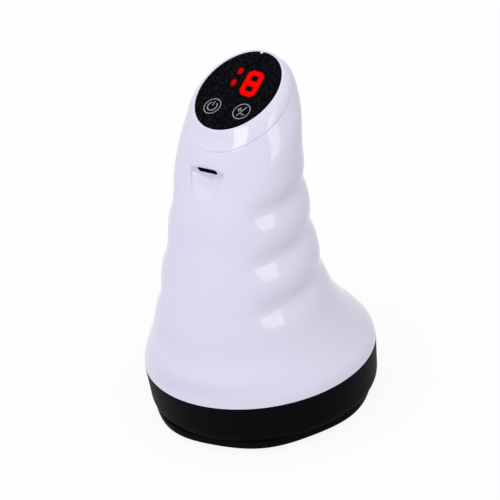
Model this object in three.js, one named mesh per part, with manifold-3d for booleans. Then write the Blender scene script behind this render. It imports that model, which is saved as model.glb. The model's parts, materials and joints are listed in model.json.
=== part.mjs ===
// Cordless body massager. Millimetres, +Z up, the front (parting line, inlet) faces -Y.
// The origin is the centre of the base circle, on the surface that the massage head stands on.
import * as THREE from "three";
import { mergeVertices } from "three/addons/utils/BufferGeometryUtils.js";
import Module from "manifold-3d";

const wasm = await Module();
wasm.setup();

// Driving dimensions
const seamRadius = 50; // lower edge of the white shells
const panelSetback = 8.5; // of the panel's centre behind the base's centre
const panelTilt = THREE.MathUtils.degToRad(27.6);
const panelHalfWidth = 18.2;
const panelHalfLength = 20.4;
const panelThickness = 2;
const wall = 2.2; // of the white mouldings
const orbitRadius = 1.25; // of the massage head about the motor's axis
const gap = 0.3; // between pieces that only touch
const fit = 0.05; // round a shaft or pin in its bore
const runningGap = 0.5; // between pieces that move past each other
const overrun = 4 * seamRadius; // of the solids that cut, past what they cut

// What is stacked from the surface up to the panel
const nodeHeight = 2.6; // of the kneading nodes
const rimThickness = 3.5; // of the massage head's lobed rim
const plugHeight = 3; // of the head's plug over that rim
const plateThickness = 3;
const bearingRise = 1; // of the bearing over the drive plate
const bearingWidth = 5;
const shoulderHeight = 0.7; // between the bearing and the hub's flange
const hubFlange = 2;
const weightThickness = 1.7;
const screwHeadHeight = 2;
const chassisThickness = 2.7;
const motorLength = 29;
const motorCapLength = 3.7;
const trayRise = 2.5; // of the battery tray over the motor
const trayShelf = 1.8;
const cellHeight = 49.5;
const inletRise = 5.7; // of the scoop's top over the cells' tops
const scoopDrop = 22.8; // of the scoop's top under the panel's centre
const rimTop = nodeHeight + rimThickness;
const plugTop = rimTop + plugHeight;
const plateBottom = plugTop + gap;
const plateTop = plateBottom + plateThickness;
const bearingTop = plateTop + bearingRise;
const bearingBottom = bearingTop - bearingWidth;
const hubBottom = bearingTop + shoulderHeight;
const weightBottom = hubBottom + hubFlange;
const weightTop = weightBottom + weightThickness;
const chassisBottom = weightTop + runningGap + screwHeadHeight;
const seamHeight = chassisBottom + chassisThickness;
const motorTop = seamHeight + motorLength;
const motorCapTop = motorTop + motorCapLength;
const shelfLow = motorCapTop + trayRise;
const shelfTop = shelfLow + trayShelf;
const cellTop = shelfTop + cellHeight;
const scoopTop = cellTop + inletRise;
const bodyHeight = scoopTop + scoopDrop - seamHeight; // from the seam to the panel's centre

// The grip's outline, bottom to top. Each row holds shares: the rise from the seam to the
// panel, the centre's setback, and how much of the way the half depth and the half width
// still lie from the panel's rim out to the base circle.
const outlineShares = [
  [0, 0, 1, 1],
  [0.035, -0.02, 0.965, 0.972],
  [0.09, -0.23, 0.875, 0.845],
  [0.157, -0.46, 0.705, 0.71],
  [0.245, -0.64, 0.56, 0.58],
  [0.365, -0.52, 0.432, 0.48],
  [0.54, -0.21, 0.284, 0.362],
  [0.73, 0.18, 0.245, 0.284],
  [0.87, 0.7, 0.24, 0.228],
  [0.948, 0.95, 0.162, 0.125],
  [0.983, 1, 0.045, 0.07],
  [1, 1, 0, 0],
];
const panelBezel = 1.1; // white rim round the panel
const leanShares = [0.43, 0.91]; // rises between which the sections turn to the panel's tilt
const grooveShares = [0.343, 0.509, 0.674]; // rises of the finger grooves
const grooveDepth = 2;
const grooveSpread = 4.85;
const grooveFade = [22, 75].map(THREE.MathUtils.degToRad); // angles from the front

// How finely the round forms are cut into flats
const turn = 2 * Math.PI;
const outerSides = 44;
const outerRings = 28;
const innerSides = 22;
const innerRings = 11;
const ovalSteps = 16;
const fineSides = 16;
const plateSides = 32;
const nodeSides = 12;
const boltSides = 8;
const ballSides = 5;
const leadSides = 6;
const leadSteps = 9;
const halvings = 40; // of the span in which a height on the skin is sought

// Solids and cuts
function solid(geometry) {
  const bare = geometry.clone();
  bare.deleteAttribute("normal");
  bare.deleteAttribute("uv");
  const merged = mergeVertices(bare);
  return new wasm.Manifold(
    new wasm.Mesh({
      numProp: 3,
      vertProperties: new Float32Array(merged.attributes.position.array),
      triVerts: new Uint32Array(merged.index.array),
    }),
  );
}

function geometryOf(manifold) {
  const mesh = manifold.getMesh();
  const geometry = new THREE.BufferGeometry();
  geometry.setAttribute("position", new THREE.BufferAttribute(mesh.vertProperties, mesh.numProp));
  geometry.setIndex(new THREE.BufferAttribute(mesh.triVerts, 1));
  return geometry;
}

function joined(...solids) {
  return solids.reduce((a, b) => a.add(b));
}

function cut(body, ...tools) {
  return tools.reduce((a, b) => a.subtract(b), body);
}

function placed(manifold, group) {
  return solid(geometryOf(manifold).applyMatrix4(group.matrixWorld));
}

function block(low, high) {
  const size = high.map((value, i) => value - low[i]);
  const middle = high.map((value, i) => (value + low[i]) / 2);
  return solid(new THREE.BoxGeometry(...size).translate(...middle));
}

// A block given on one side of the middle plane, with side -1 or 1
function sideBlock(side, low, high) {
  if (side > 0) return block(low, high);
  return block([-high[0], low[1], low[2]], [-low[0], high[1], high[2]]);
}

function rod(radius, low, high, at = [0, 0], sides = fineSides) {
  const geometry = new THREE.CylinderGeometry(radius, radius, high - low, sides);
  geometry.rotateX(turn / 4);
  return solid(geometry.translate(...at, (low + high) / 2));
}

function bore(radius, at = [0, 0], sides = fineSides) {
  return rod(radius, -overrun, overrun, at, sides);
}

function tube(outer, inner, low, high, at = [0, 0], sides = fineSides) {
  return cut(rod(outer, low, high, at, sides), bore(inner, at, sides));
}

// A piece turned about Z from an outline of [radius, height] pairs, which starts and ends on
// the axis or is closed here
function turned(outline, sides = fineSides, at = [0, 0]) {
  const points = outline.map(([radius, height]) => new THREE.Vector2(radius, height));
  if (THREE.ShapeUtils.area(points) < 0) points.reverse();
  if (outline[0][0] !== 0) points.push(points[0].clone());
  const geometry = new THREE.LatheGeometry(points, sides);
  geometry.rotateX(turn / 4);
  return solid(geometry.translate(...at, 0));
}

// A flat shape pressed out along Z between two heights
function pressed(shape, low, high, curveSegments = boltSides / 2) {
  const options = { depth: high - low, bevelEnabled: false, curveSegments };
  return solid(new THREE.ExtrudeGeometry(shape, options).translate(0, 0, low));
}

// Everything under a plane through a point, leaned about X
function under(point, lean) {
  const geometry = new THREE.BoxGeometry(2 * overrun, 2 * overrun, overrun);
  geometry.translate(0, 0, -overrun / 2).rotateX(lean);
  return solid(geometry.translate(...point));
}

// A closed body through rings of points, from the lowest ring to the highest
function loft(rings) {
  const sides = rings[0].length;
  const positions = rings.flat().flatMap((p) => [p.x, p.y, p.z]);
  const ends = [rings[0], rings[rings.length - 1]];
  for (const ring of ends) {
    const centre = ring.reduce((sum, p) => sum.add(p), new THREE.Vector3()).divideScalar(sides);
    positions.push(centre.x, centre.y, centre.z);
  }
  const bottom = rings.length * sides;
  const index = [];
  for (let side = 0; side < sides; side++) {
    const next = (side + 1) % sides;
    index.push(bottom, next, side);
    index.push(bottom + 1, bottom - sides + side, bottom - sides + next);
    for (let ring = 0; ring < rings.length - 1; ring++) {
      const low = ring * sides;
      const high = low + sides;
      index.push(low + side, low + next, high + next);
      index.push(low + side, high + next, high + side);
    }
  }
  const geometry = new THREE.BufferGeometry();
  geometry.setAttribute("position", new THREE.Float32BufferAttribute(positions, 3));
  geometry.setIndex(index);
  return solid(geometry);
}

// The grip's form
const rimDepth = panelHalfLength + panelBezel;
const rimWidth = panelHalfWidth + panelBezel;
const outline = new THREE.CubicInterpolant(
  outlineShares.map((row) => row[0]),
  outlineShares.flatMap((row) => row.slice(1)),
  3,
);

function gripSection(rise) {
  const [centre, depth, width] = outline.evaluate(Math.min(Math.max(rise, 0), 1));
  return {
    y: centre * panelSetback,
    z: seamHeight + rise * bodyHeight,
    lean: panelTilt * THREE.MathUtils.smoothstep(rise, ...leanShares),
    depth: rimDepth + depth * (seamRadius - rimDepth),
    width: rimWidth + width * (seamRadius - rimWidth),
  };
}

// One point of the grip's skin, or of a skin that lies deeper by the inset
function gripPoint(rise, angle, inset) {
  const section = gripSection(rise);
  const across = section.width * Math.cos(angle);
  const along = section.depth * Math.sin(angle);
  const height = section.z + along * Math.sin(section.lean);
  const fromFront = Math.abs(Math.atan2(across, -along));
  let groove = 0;
  for (const share of grooveShares) {
    const away = (height - seamHeight - share * bodyHeight) / grooveSpread;
    groove += grooveDepth * Math.exp(-away * away);
  }
  const fade = THREE.MathUtils.smoothstep(fromFront, ...grooveFade);
  const keep = 1 - (groove * fade + inset) / Math.hypot(across, along);
  return new THREE.Vector3(
    across * keep,
    section.y + along * keep * Math.cos(section.lean),
    section.z + along * keep * Math.sin(section.lean),
  );
}

// The grip as a solid, inset from its skin, and carried on a little below the seam
function gripSolid(inset, sides, ringCount, below = 0) {
  const ring = (rise) =>
    Array.from({ length: sides }, (_, i) => gripPoint(rise, (i / sides) * turn, inset));
  const rings = Array.from({ length: ringCount }, (_, i) => ring(i / (ringCount - 1)));
  if (below) rings.unshift(rings[0].map((p) => p.clone().setZ(p.z - below)));
  return loft(rings);
}

// The skin's Y near the middle plane in front, at a height and a distance from that plane
const front = -turn / 4;
function skinAt(height, across = 0) {
  let low = 0;
  let high = 1;
  for (let i = 0; i < halvings; i++) {
    const middle = (low + high) / 2;
    if (gripPoint(middle, front, 0).z < height) low = middle;
    else high = middle;
  }
  const section = gripSection(low);
  const back = section.depth * (1 - Math.sqrt(1 - (across / section.width) ** 2));
  return gripPoint(low, front, 0).y + back * Math.cos(section.lean);
}

// A point on the middle plane, a depth under the panel's face
const panelCentre = [0, panelSetback, seamHeight + bodyHeight];
function underPanel(depth) {
  return [
    0,
    panelCentre[1] + depth * Math.sin(panelTilt),
    panelCentre[2] - depth * Math.cos(panelTilt),
  ];
}

// The scoop in the front, with the slot of the charging inlet in its upper wall
const scoopHalfWidth = 8.15;
const scoopHeight = 11.6;
const scoopWallHeight = 6.35;
const scoopLean = THREE.MathUtils.degToRad(19.3);
const scoopBacking = 1.8; // wall that the shells carry round the scoop
const scoopSlices = 10;
const scoopRounding = 2.6; // exponent of the outline's round lower end
const slotHalfWidth = 5;
const slotHalfHeight = 1.3;
const slotDrop = 2.15; // of the slot's middle down the wall

function scoopSolid(grow) {
  const tip = scoopTop - scoopHeight;
  const deep = scoopTop - scoopWallHeight;
  const deepY = skinAt(scoopTop) + Math.tan(scoopLean) * scoopWallHeight;
  const slope = (deepY - skinAt(tip)) / (deep - tip);
  const slices = Array.from({ length: scoopSlices + 1 }, (_, i) => {
    const share = Math.cos(((i / scoopSlices) * turn) / 4);
    const angle = Math.asin(share ** (scoopRounding / 2));
    const half = Math.max(scoopHalfWidth * Math.cos(angle) ** (2 / scoopRounding), fit) + grow;
    const z = scoopTop - (scoopHeight + grow) * share;
    const crease = skinAt(tip) + slope * (z - tip) + grow;
    const side = Math.min(skinAt(z, half) + grow, crease);
    return [
      new THREE.Vector3(-half, -seamRadius, z),
      new THREE.Vector3(half, -seamRadius, z),
      new THREE.Vector3(half, side, z),
      new THREE.Vector3(0, crease, z),
      new THREE.Vector3(-half, side, z),
    ];
  });
  slices.push(slices[scoopSlices].map((p) => p.clone().setZ(p.z + scoopHeight)));
  return loft(slices).intersect(beforeScoopWall(grow));
}

// Everything in front of the scoop's upper wall, from a distance behind it
function beforeScoopWall(behind) {
  const point = [
    0,
    skinAt(scoopTop) + behind * Math.cos(scoopLean),
    scoopTop + behind * Math.sin(scoopLean),
  ];
  return under(point, scoopLean - turn / 4);
}

// The inlet's frame: its Z runs out of the slot
function inletGroup() {
  const group = new THREE.Group();
  group.position.set(
    0,
    skinAt(scoopTop) + slotDrop * Math.sin(scoopLean),
    scoopTop - slotDrop * Math.cos(scoopLean),
  );
  group.rotation.x = turn / 4 + scoopLean;
  group.updateMatrixWorld();
  return group;
}
const inlet = inletGroup();

function slotShape(halfWidth, halfHeight) {
  const shape = new THREE.Shape();
  const straight = halfWidth - halfHeight;
  shape.absarc(straight, 0, halfHeight, -turn / 4, turn / 4);
  shape.absarc(-straight, 0, halfHeight, turn / 4, (3 * turn) / 4);
  return shape;
}

// Radii of the base: the skirt ring, what it holds, and what circles inside it
const skirtTaper = 0.65; // how much narrower the ring is at its lower edge
const skirtWall = 2.7;
const skirtShelf = 3.1; // how far its shelf reaches in under the chassis
const screwHeadRadius = 2.8;
const bossClear = 2.25; // between a screw's head and the shelf
const skirtOuter = seamRadius - skirtTaper;
const skirtInner = skirtOuter - skirtWall;
const shelfInner = skirtInner - skirtShelf;
const bossCircle = shelfInner - screwHeadRadius - bossClear;

// The white shells, with screw bosses on the chassis and rails for the charging board
const crownDrop = 4.6; // depth of the crown's seam under the panel's face
const bossRadius = 3.6;
const bossHeight = 10;
const screwRadius = 1.5;
const pilotDepth = 8;
const boardThickness = 1.2;
const chargeBoardHalfWidth = 9;
const chargeBoardLength = 12;
const chargeBoardDrop = 1.7; // of the board's face under the inlet's axis
const boardNear = -scoopBacking - gap; // of its front edge and of the socket's mouth
const boardFar = boardNear - chargeBoardLength;
const railLength = 5;
const railHalfHeight = 2.5;
const railBite = 0.9; // of the board's edge in its rail

function bossPlace(side, end) {
  return [side * bossCircle * Math.SQRT1_2, end * bossCircle * Math.SQRT1_2];
}

function shellBoss(at) {
  const reachOut = seamRadius - bossCircle;
  const rib = new THREE.BoxGeometry(reachOut, wall, bossHeight);
  rib.translate(bossCircle + reachOut / 2, 0, bossHeight / 2);
  rib.rotateZ(Math.atan2(at[1], at[0])).translate(0, 0, seamHeight);
  return joined(rod(bossRadius, seamHeight, seamHeight + bossHeight, at, boltSides), solid(rib));
}

// The rail that holds one edge of the charging board, drawn in the inlet's frame
function boardRail(side) {
  const middle = -chargeBoardDrop - boardThickness / 2;
  const bar = sideBlock(
    side,
    [chargeBoardHalfWidth - railBite, middle - railHalfHeight, boardFar],
    [seamRadius, middle + railHalfHeight, boardFar + railLength],
  );
  const groove = sideBlock(
    side,
    [0, -chargeBoardDrop - boardThickness - gap, -overrun],
    [chargeBoardHalfWidth + gap, gap - chargeBoardDrop, overrun],
  );
  return placed(cut(bar, groove), inlet);
}

const outerForm = gripSolid(0, outerSides, outerRings);
const innerForm = gripSolid(wall, innerSides, innerRings, wall);
const innerGuard = gripSolid(wall / 2, innerSides, innerRings);

function shell(side) {
  const belowCrown = under(underPanel(crownDrop + gap), panelTilt);
  const skin = outerForm.intersect(belowCrown).subtract(innerForm);
  const backing = scoopSolid(scoopBacking).intersect(outerForm);
  const places = [-1, 1].map((end) => bossPlace(side, end));
  const inside = joined(boardRail(side), ...places.map(shellBoss)).intersect(innerGuard);
  const pilots = places.map((at) =>
    rod(screwRadius + fit, seamHeight - wall, seamHeight + pilotDepth, at, boltSides),
  );
  const slot = slotShape(slotHalfWidth, slotHalfHeight);
  const slotCut = placed(pressed(slot, boardNear - wall, scoopBacking), inlet);
  const half = sideBlock(side, [0, -overrun, 0], [overrun, overrun, overrun]);
  return cut(joined(skin, backing, inside), scoopSolid(0), slotCut, ...pilots).intersect(half);
}

// The crown's frame: its Z runs out of the panel's face
const crown = new THREE.Group();
crown.position.set(...panelCentre);
crown.rotation.x = panelTilt;
crown.updateMatrixWorld();

const crownFloor = 1.8; // thickness of the crown's floor under the panel
const windowHalfWidth = 14;
const windowHalfLength = 16.4;
const spigotWall = 1.4;
const spigotDepth = 8; // of its lower edge under the panel's face
const notchRadius = 0.8;
const crownBossRadius = 2;
const crownBossAcross = 16;
const smallScrewRadius = 0.8;
const smallHeadRadius = 1.7;
const smallHeadHeight = 1.2;
const displayHeight = 3; // of the digit module on its board
const boardDepth = panelThickness + displayHeight; // of the board's face under the panel's
const boardUnderside = boardDepth + boardThickness;

function ovalSlab(halfWidth, halfLength, low, high) {
  const shape = new THREE.Shape();
  shape.absellipse(0, 0, halfWidth, halfLength, 0, turn);
  return pressed(shape, low, high, ovalSteps);
}

// The recess for the panel keeps a small key that the panel's notch goes over
function panelRecess() {
  const halfWidth = panelHalfWidth + gap / 2;
  const halfLength = panelHalfLength + gap / 2;
  const key = rod(notchRadius, -overrun, 0, [0, panelHalfLength], boltSides);
  return cut(ovalSlab(halfWidth, halfLength, -panelThickness, overrun), key);
}

function crownCap() {
  const aboveSeam = outerForm.subtract(under(underPanel(crownDrop), panelTilt));
  const underFloor = under(underPanel(panelThickness + crownFloor), panelTilt);
  const plate = cut(aboveSeam, innerForm.intersect(underFloor));
  const spigotSkin = gripSolid(wall + gap, innerSides, innerRings);
  const spigotBore = gripSolid(wall + gap + spigotWall, innerSides, innerRings);
  const spigotTop = under(underPanel(panelThickness + crownFloor / 2), panelTilt);
  const spigotEnd = under(underPanel(spigotDepth), panelTilt);
  const spigot = cut(spigotSkin.intersect(spigotTop), spigotBore, spigotEnd);
  const opening = ovalSlab(windowHalfWidth, windowHalfLength, -overrun, 0);
  const shaped = cut(joined(plate, spigot), placed(panelRecess(), crown), placed(opening, crown));
  const bosses = [-1, 1].map((side) => {
    const at = [side * crownBossAcross, 0];
    const top = -panelThickness - crownFloor / 2;
    const inner = smallScrewRadius + fit;
    return placed(tube(crownBossRadius, inner, gap - boardDepth, top, at, boltSides), crown);
  });
  return joined(shaped, ...bosses);
}

function touchPanel() {
  const plate = ovalSlab(panelHalfWidth, panelHalfLength, gap - panelThickness, 0);
  return cut(plate, bore(notchRadius + gap / 2, [0, panelHalfLength], boltSides));
}

// The board under the panel, shifted to the front as the grip's sections lie there
const displayBoardHalfWidth = 18.2;
const displayBoardHalfLength = 16.8;
const displayBoardShift = 1.8;

function displayBoard() {
  const slab = ovalSlab(displayBoardHalfWidth, displayBoardHalfLength, -boardUnderside, -boardDepth);
  const holes = [-1, 1].map((side) =>
    bore(smallScrewRadius + fit, [side * crownBossAcross, 0], boltSides),
  );
  return cut(slab.translate(0, -displayBoardShift, 0), ...holes);
}

function displayScrew(side) {
  const at = [side * crownBossAcross, 0];
  const seat = -boardUnderside;
  const head = rod(smallHeadRadius, seat - smallHeadHeight, seat, at, boltSides);
  const shank = rod(smallScrewRadius, seat - fit, -panelThickness - crownFloor, at, boltSides);
  return joined(head, shank);
}

// The module that shows one digit and two dots: its corners on the board, and its segments
const displayLow = [-5.6, -2];
const displayHigh = [8, 11];
const segmentDepth = 0.4;
const segmentHalf = 0.75;
const digitCentre = [4.4, 4.4];
const digitHalf = [2.6, 4.6];
const dotCentres = [
  [-4, 3.3],
  [-4, 9.3],
];

function digitDisplay() {
  const face = -panelThickness;
  const body = block([...displayLow, -boardDepth], [...displayHigh, face]);
  const sunk = (x, y, halfX, halfY) =>
    block([x - halfX, y - halfY, face - segmentDepth], [x + halfX, y + halfY, overrun]);
  const [x, y] = digitCentre;
  const [halfX, halfY] = digitHalf;
  const flats = [-1, 0, 1].map((row) =>
    sunk(x, y + row * halfY, halfX - segmentHalf - gap, segmentHalf),
  );
  const uprights = [-1, 1].flatMap((column) =>
    [-1, 1].map((row) =>
      sunk(
        x + column * halfX,
        y + (row * halfY) / 2,
        segmentHalf,
        halfY / 2 - segmentHalf - gap,
      ),
    ),
  );
  const dots = dotCentres.map((at) => rod(segmentHalf, face - segmentDepth, overrun, at, boltSides));
  return cut(body, ...flats, ...uprights, ...dots);
}

// The two sensing pads behind the power key and the level key
const keyAcross = 7.4;
const keyFromEdge = 10.9; // up from the panel's lower edge
const keyBelow = panelHalfLength - keyFromEdge; // the panel's centre
const touchPadRadius = 2.2;

function touchPad(side) {
  return rod(touchPadRadius, -boardDepth, -panelThickness, [side * keyAcross, -keyBelow], boltSides);
}

// The charging inlet on its board, drawn in the inlet's frame
const socketWall = 0.4;
const socketLength = 7.3;
const tongueHalfWidth = 2.3;
const tongueHalfHeight = 0.35;
const socketHalfWidth = slotHalfWidth - fit;
const socketHalfHeight = chargeBoardDrop - 2 * fit;

function chargeSocket() {
  const back = boardNear - socketLength;
  const outside = pressed(slotShape(socketHalfWidth, socketHalfHeight), back, boardNear);
  const hollow = slotShape(socketHalfWidth - socketWall, socketHalfHeight - socketWall);
  const inside = pressed(hollow, back + socketWall, boardNear + socketWall);
  const tongue = block(
    [-tongueHalfWidth, -tongueHalfHeight, back],
    [tongueHalfWidth, tongueHalfHeight, boardNear - socketWall],
  );
  return joined(cut(outside, inside), tongue);
}

function chargeBoard() {
  return block(
    [-chargeBoardHalfWidth, -chargeBoardDrop - boardThickness, boardFar],
    [chargeBoardHalfWidth, -chargeBoardDrop, boardNear],
  );
}

// The base: skirt ring, chassis and its screws
const skirtRound = 1.4;
const skirtArcSteps = 2;
const shelfThickness = 2.8;
const skirtBottom = rimTop + runningGap;
const chassisRadius = skirtInner - gap;

function skirtRing() {
  const arc = Array.from({ length: skirtArcSteps + 1 }, (_, i) => {
    const angle = ((i / skirtArcSteps) * turn) / 4;
    return [
      skirtOuter - skirtRound * (1 - Math.cos(angle)),
      skirtBottom + skirtRound * (1 - Math.sin(angle)),
    ];
  });
  const shelfBottom = chassisBottom - shelfThickness;
  return turned(
    [
      [skirtInner, skirtBottom],
      [skirtInner, shelfBottom],
      [shelfInner, shelfBottom],
      [shelfInner, chassisBottom],
      [skirtInner, chassisBottom],
      [skirtInner, seamHeight],
      [seamRadius, seamHeight],
      ...arc,
    ],
    outerSides,
  );
}

const motorRadius = 13.85;
const motorNoseRadius = 5;
const motorScrewAcross = 8;
const motorScrewRadius = 1.45;
const motorScrewReach = 2; // into the motor's front plate
const collarWall = 1.5;
const collarHeight = 6;
const collarRadius = motorRadius + gap + collarWall;
const studRadius = 2.5;
const studCount = 4;
const sleeveWall = 0.9;
const sleeveRadius = studRadius + fit + sleeveWall;
const studHole = sleeveRadius + orbitRadius + gap; // in the drive plate
const plateEdge = 3.8; // of the drive plate outside those holes
const plateRadius = shelfInner - orbitRadius - runningGap;
const studCircle = plateRadius - plateEdge - studHole;
const trayWall = 1.4;
const legClear = 1.95; // between the motor's collar and the tray's legs
const legInner = collarRadius + legClear;
const trayFootAcross = legInner + trayWall + screwHeadRadius + gap;

function aroundStuds(make) {
  return Array.from({ length: studCount }, (_, i) => {
    const angle = (i / studCount) * turn;
    return make([studCircle * Math.cos(angle), studCircle * Math.sin(angle)]);
  });
}

function chassis() {
  const plate = rod(chassisRadius, chassisBottom, seamHeight, [0, 0], plateSides);
  const collar = rod(collarRadius, seamHeight - fit, seamHeight + collarHeight);
  const collarBore = rod(motorRadius + gap, seamHeight, overrun);
  const studs = aroundStuds((at) => rod(studRadius, plateBottom, chassisBottom + fit, at, boltSides));
  const holes = [-1, 1].flatMap((side) => [
    bore(motorScrewRadius + fit, [side * motorScrewAcross, 0], boltSides),
    bore(screwRadius + fit, [side * trayFootAcross, 0], boltSides),
    ...[-1, 1].map((end) => bore(screwRadius + fit, bossPlace(side, end), boltSides)),
  ]);
  const body = cut(joined(plate, cut(collar, collarBore)), bore(motorNoseRadius + gap), ...holes);
  return joined(body, ...studs);
}

// A pan-head screw driven upwards, or downwards, with the underside of its head at a height
function upScrew(radius, seat, reach, at) {
  const head = rod(screwHeadRadius, seat - screwHeadHeight, seat, at, boltSides);
  return joined(head, rod(radius, seat - fit, seat + reach, at, boltSides));
}

function downScrew(radius, seat, reach, at) {
  const head = rod(screwHeadRadius, seat, seat + screwHeadHeight, at, boltSides);
  return joined(head, rod(radius, seat - reach, seat + fit, at, boltSides));
}

function chassisScrew(at) {
  return upScrew(screwRadius, chassisBottom, chassisThickness + pilotDepth - gap, at);
}

function studSleeve(at) {
  return tube(sleeveRadius, studRadius + fit, plateBottom, chassisBottom, at, boltSides);
}

// The motor, with its shaft down
const motorNoseLength = 2;
const motorPlate = 2.4;
const motorCanWall = 1;
const canEdge = 1.5;
const shaftRadius = 1.585;
const armatureRadius = 8.6;
const armatureSlots = 5;
const slotWidth = 2;
const magnetThickness = 3.2;
const magnetSpan = THREE.MathUtils.degToRad(130);
const windingRoom = 4; // between the armature and the motor's ends
const capShoulder = motorCapTop - canEdge;
const canInner = motorRadius - motorCanWall;

function motorCan() {
  const outer = turned([
    [0, seamHeight],
    [motorRadius - canEdge, seamHeight],
    [motorRadius, seamHeight + canEdge],
    [motorRadius, motorTop],
    [0, motorTop],
  ]);
  const nose = rod(motorNoseRadius, seamHeight - motorNoseLength, seamHeight + fit);
  const inside = rod(canInner, seamHeight + motorPlate, overrun);
  const holes = [-1, 1].map((side) => {
    const at = [side * motorScrewAcross, 0];
    return rod(motorScrewRadius + fit, 0, seamHeight + motorScrewReach, at, boltSides);
  });
  return cut(joined(outer, nose), inside, bore(shaftRadius + fit), ...holes);
}

function motorEndCap() {
  const plug = rod(canInner - gap, motorTop - motorPlate, motorTop + fit);
  const cap = turned([
    [0, motorTop],
    [motorRadius - canEdge / 2, motorTop],
    [motorRadius - canEdge / 2, capShoulder],
    [motorNoseRadius + canEdge, capShoulder],
    [motorNoseRadius, motorCapTop],
    [0, motorCapTop],
  ]);
  return cut(joined(plug, cap), rod(shaftRadius + fit, 0, capShoulder));
}

function motorScrew(side) {
  const reach = chassisThickness + motorScrewReach - gap;
  return upScrew(motorScrewRadius, chassisBottom, reach, [side * motorScrewAcross, 0]);
}

function magnet(side) {
  const outer = canInner - gap;
  const middle = side > 0 ? 0 : turn / 2;
  const start = middle - magnetSpan / 2;
  const end = middle + magnetSpan / 2;
  const shape = new THREE.Shape();
  shape.absarc(0, 0, outer, start, end);
  shape.absarc(0, 0, outer - magnetThickness, end, start, true);
  return pressed(shape, seamHeight + motorPlate, motorTop - motorPlate - gap);
}

function armature() {
  const low = seamHeight + motorPlate + windingRoom;
  const core = rod(armatureRadius, low, motorTop - motorPlate - windingRoom);
  const slots = Array.from({ length: armatureSlots }, (_, i) => {
    const slot = new THREE.BoxGeometry(armatureRadius, slotWidth, overrun);
    slot.translate(armatureRadius, 0, low);
    return solid(slot.rotateZ((i / armatureSlots) * turn));
  });
  return cut(core, bore(shaftRadius + fit), ...slots);
}

function motorShaft() {
  return rod(shaftRadius, hubBottom + fit, capShoulder - gap);
}

// The eccentric drive. The pin, its bearing and the head share one axis, set to the front
const pinAt = [0, -orbitRadius];
const pinRadius = 4;
const hubRadius = 9;
const hubNeckRadius = 4.4;
const hubTop = chassisBottom - gap;
const bearingRadius = 8;
const innerRaceRadius = 5.2;
const outerRaceRadius = 6.9;
const ballRadius = 0.8;
const ballCount = 7;
const cageHeight = 0.8;
const cageWall = 0.5;
const weightRadius = 13.6;
const weightScrewAt = [0, 6.8];
const weightScrewRadius = 1;
const weightHeadRadius = 1.7;
const weightHeadHeight = 1; // sunk into the hub's flange
const pinScrewRadius = 1.2;
const pinScrewReach = 4;
const washerThickness = 0.6;
const washerRadius = innerRaceRadius - gap;
const grubRadius = 0.9;

// Turns a piece drawn along Z to lie along +Y through the hub's neck, above the counterweight
function sideways(manifold) {
  const geometry = geometryOf(manifold).rotateX(-turn / 4);
  return solid(geometry.translate(0, 0, (weightTop + hubTop) / 2));
}

function eccentricHub() {
  const flange = rod(hubRadius, hubBottom, weightBottom);
  const neck = rod(hubNeckRadius, hubBottom, hubTop);
  const pin = rod(pinRadius, bearingBottom, hubBottom + fit, pinAt);
  const shoulder = rod(innerRaceRadius - fit, bearingTop, hubBottom + fit, pinAt);
  const shaftBore = rod(shaftRadius + fit, hubBottom, overrun);
  const pinPilot = rod(pinScrewRadius + fit, 0, bearingBottom + pinScrewReach, pinAt, boltSides);
  const weightHole = bore(weightScrewRadius + fit, weightScrewAt, boltSides);
  const sink = rod(weightHeadRadius + fit, 0, hubBottom + weightHeadHeight, weightScrewAt, boltSides);
  const grubBore = sideways(rod(grubRadius + fit, shaftRadius, overrun, [0, 0], boltSides));
  const body = joined(flange, neck, pin, shoulder);
  return cut(body, shaftBore, pinPilot, weightHole, sink, grubBore);
}

function hubScrew() {
  const near = shaftRadius + 2 * fit;
  return sideways(rod(grubRadius, near, hubNeckRadius - fit, [0, 0], boltSides));
}

function counterweight() {
  const shape = new THREE.Shape();
  shape.absarc(0, 0, weightRadius, 0, turn / 2);
  shape.absarc(0, 0, hubNeckRadius + gap, turn / 2, 0, true);
  const plate = pressed(shape, weightBottom, weightTop, boltSides);
  return cut(plate, bore(weightScrewRadius + fit, weightScrewAt, boltSides));
}

function counterweightScrew() {
  const seat = hubBottom + weightHeadHeight - fit;
  const head = rod(weightHeadRadius, hubBottom, seat, weightScrewAt, boltSides);
  return joined(head, rod(weightScrewRadius, seat - fit, weightTop, weightScrewAt, boltSides));
}

function race(outer, inner) {
  return tube(outer, inner, bearingBottom, bearingTop, pinAt);
}

function bearingCage() {
  const middle = (bearingBottom + bearingTop) / 2;
  const pitch = (innerRaceRadius + outerRaceRadius) / 2;
  const low = middle - cageHeight / 2;
  const outer = pitch + cageWall / 2;
  const band = tube(outer, outer - cageWall, low, low + cageHeight, pinAt, 2 * ballCount);
  const balls = Array.from({ length: ballCount }, (_, i) => {
    const angle = (i / ballCount) * turn;
    const ball = new THREE.SphereGeometry(ballRadius, ballSides, ballSides - 1);
    const x = pinAt[0] + pitch * Math.cos(angle);
    return solid(ball.translate(x, pinAt[1] + pitch * Math.sin(angle), middle));
  });
  return joined(band, ...balls);
}

function pinWasher() {
  const inner = pinScrewRadius + fit;
  return tube(washerRadius, inner, bearingBottom - washerThickness, bearingBottom, pinAt);
}

function pinScrew() {
  const reach = washerThickness + pinScrewReach - gap;
  return upScrew(pinScrewRadius, bearingBottom - washerThickness, reach, pinAt);
}

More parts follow.
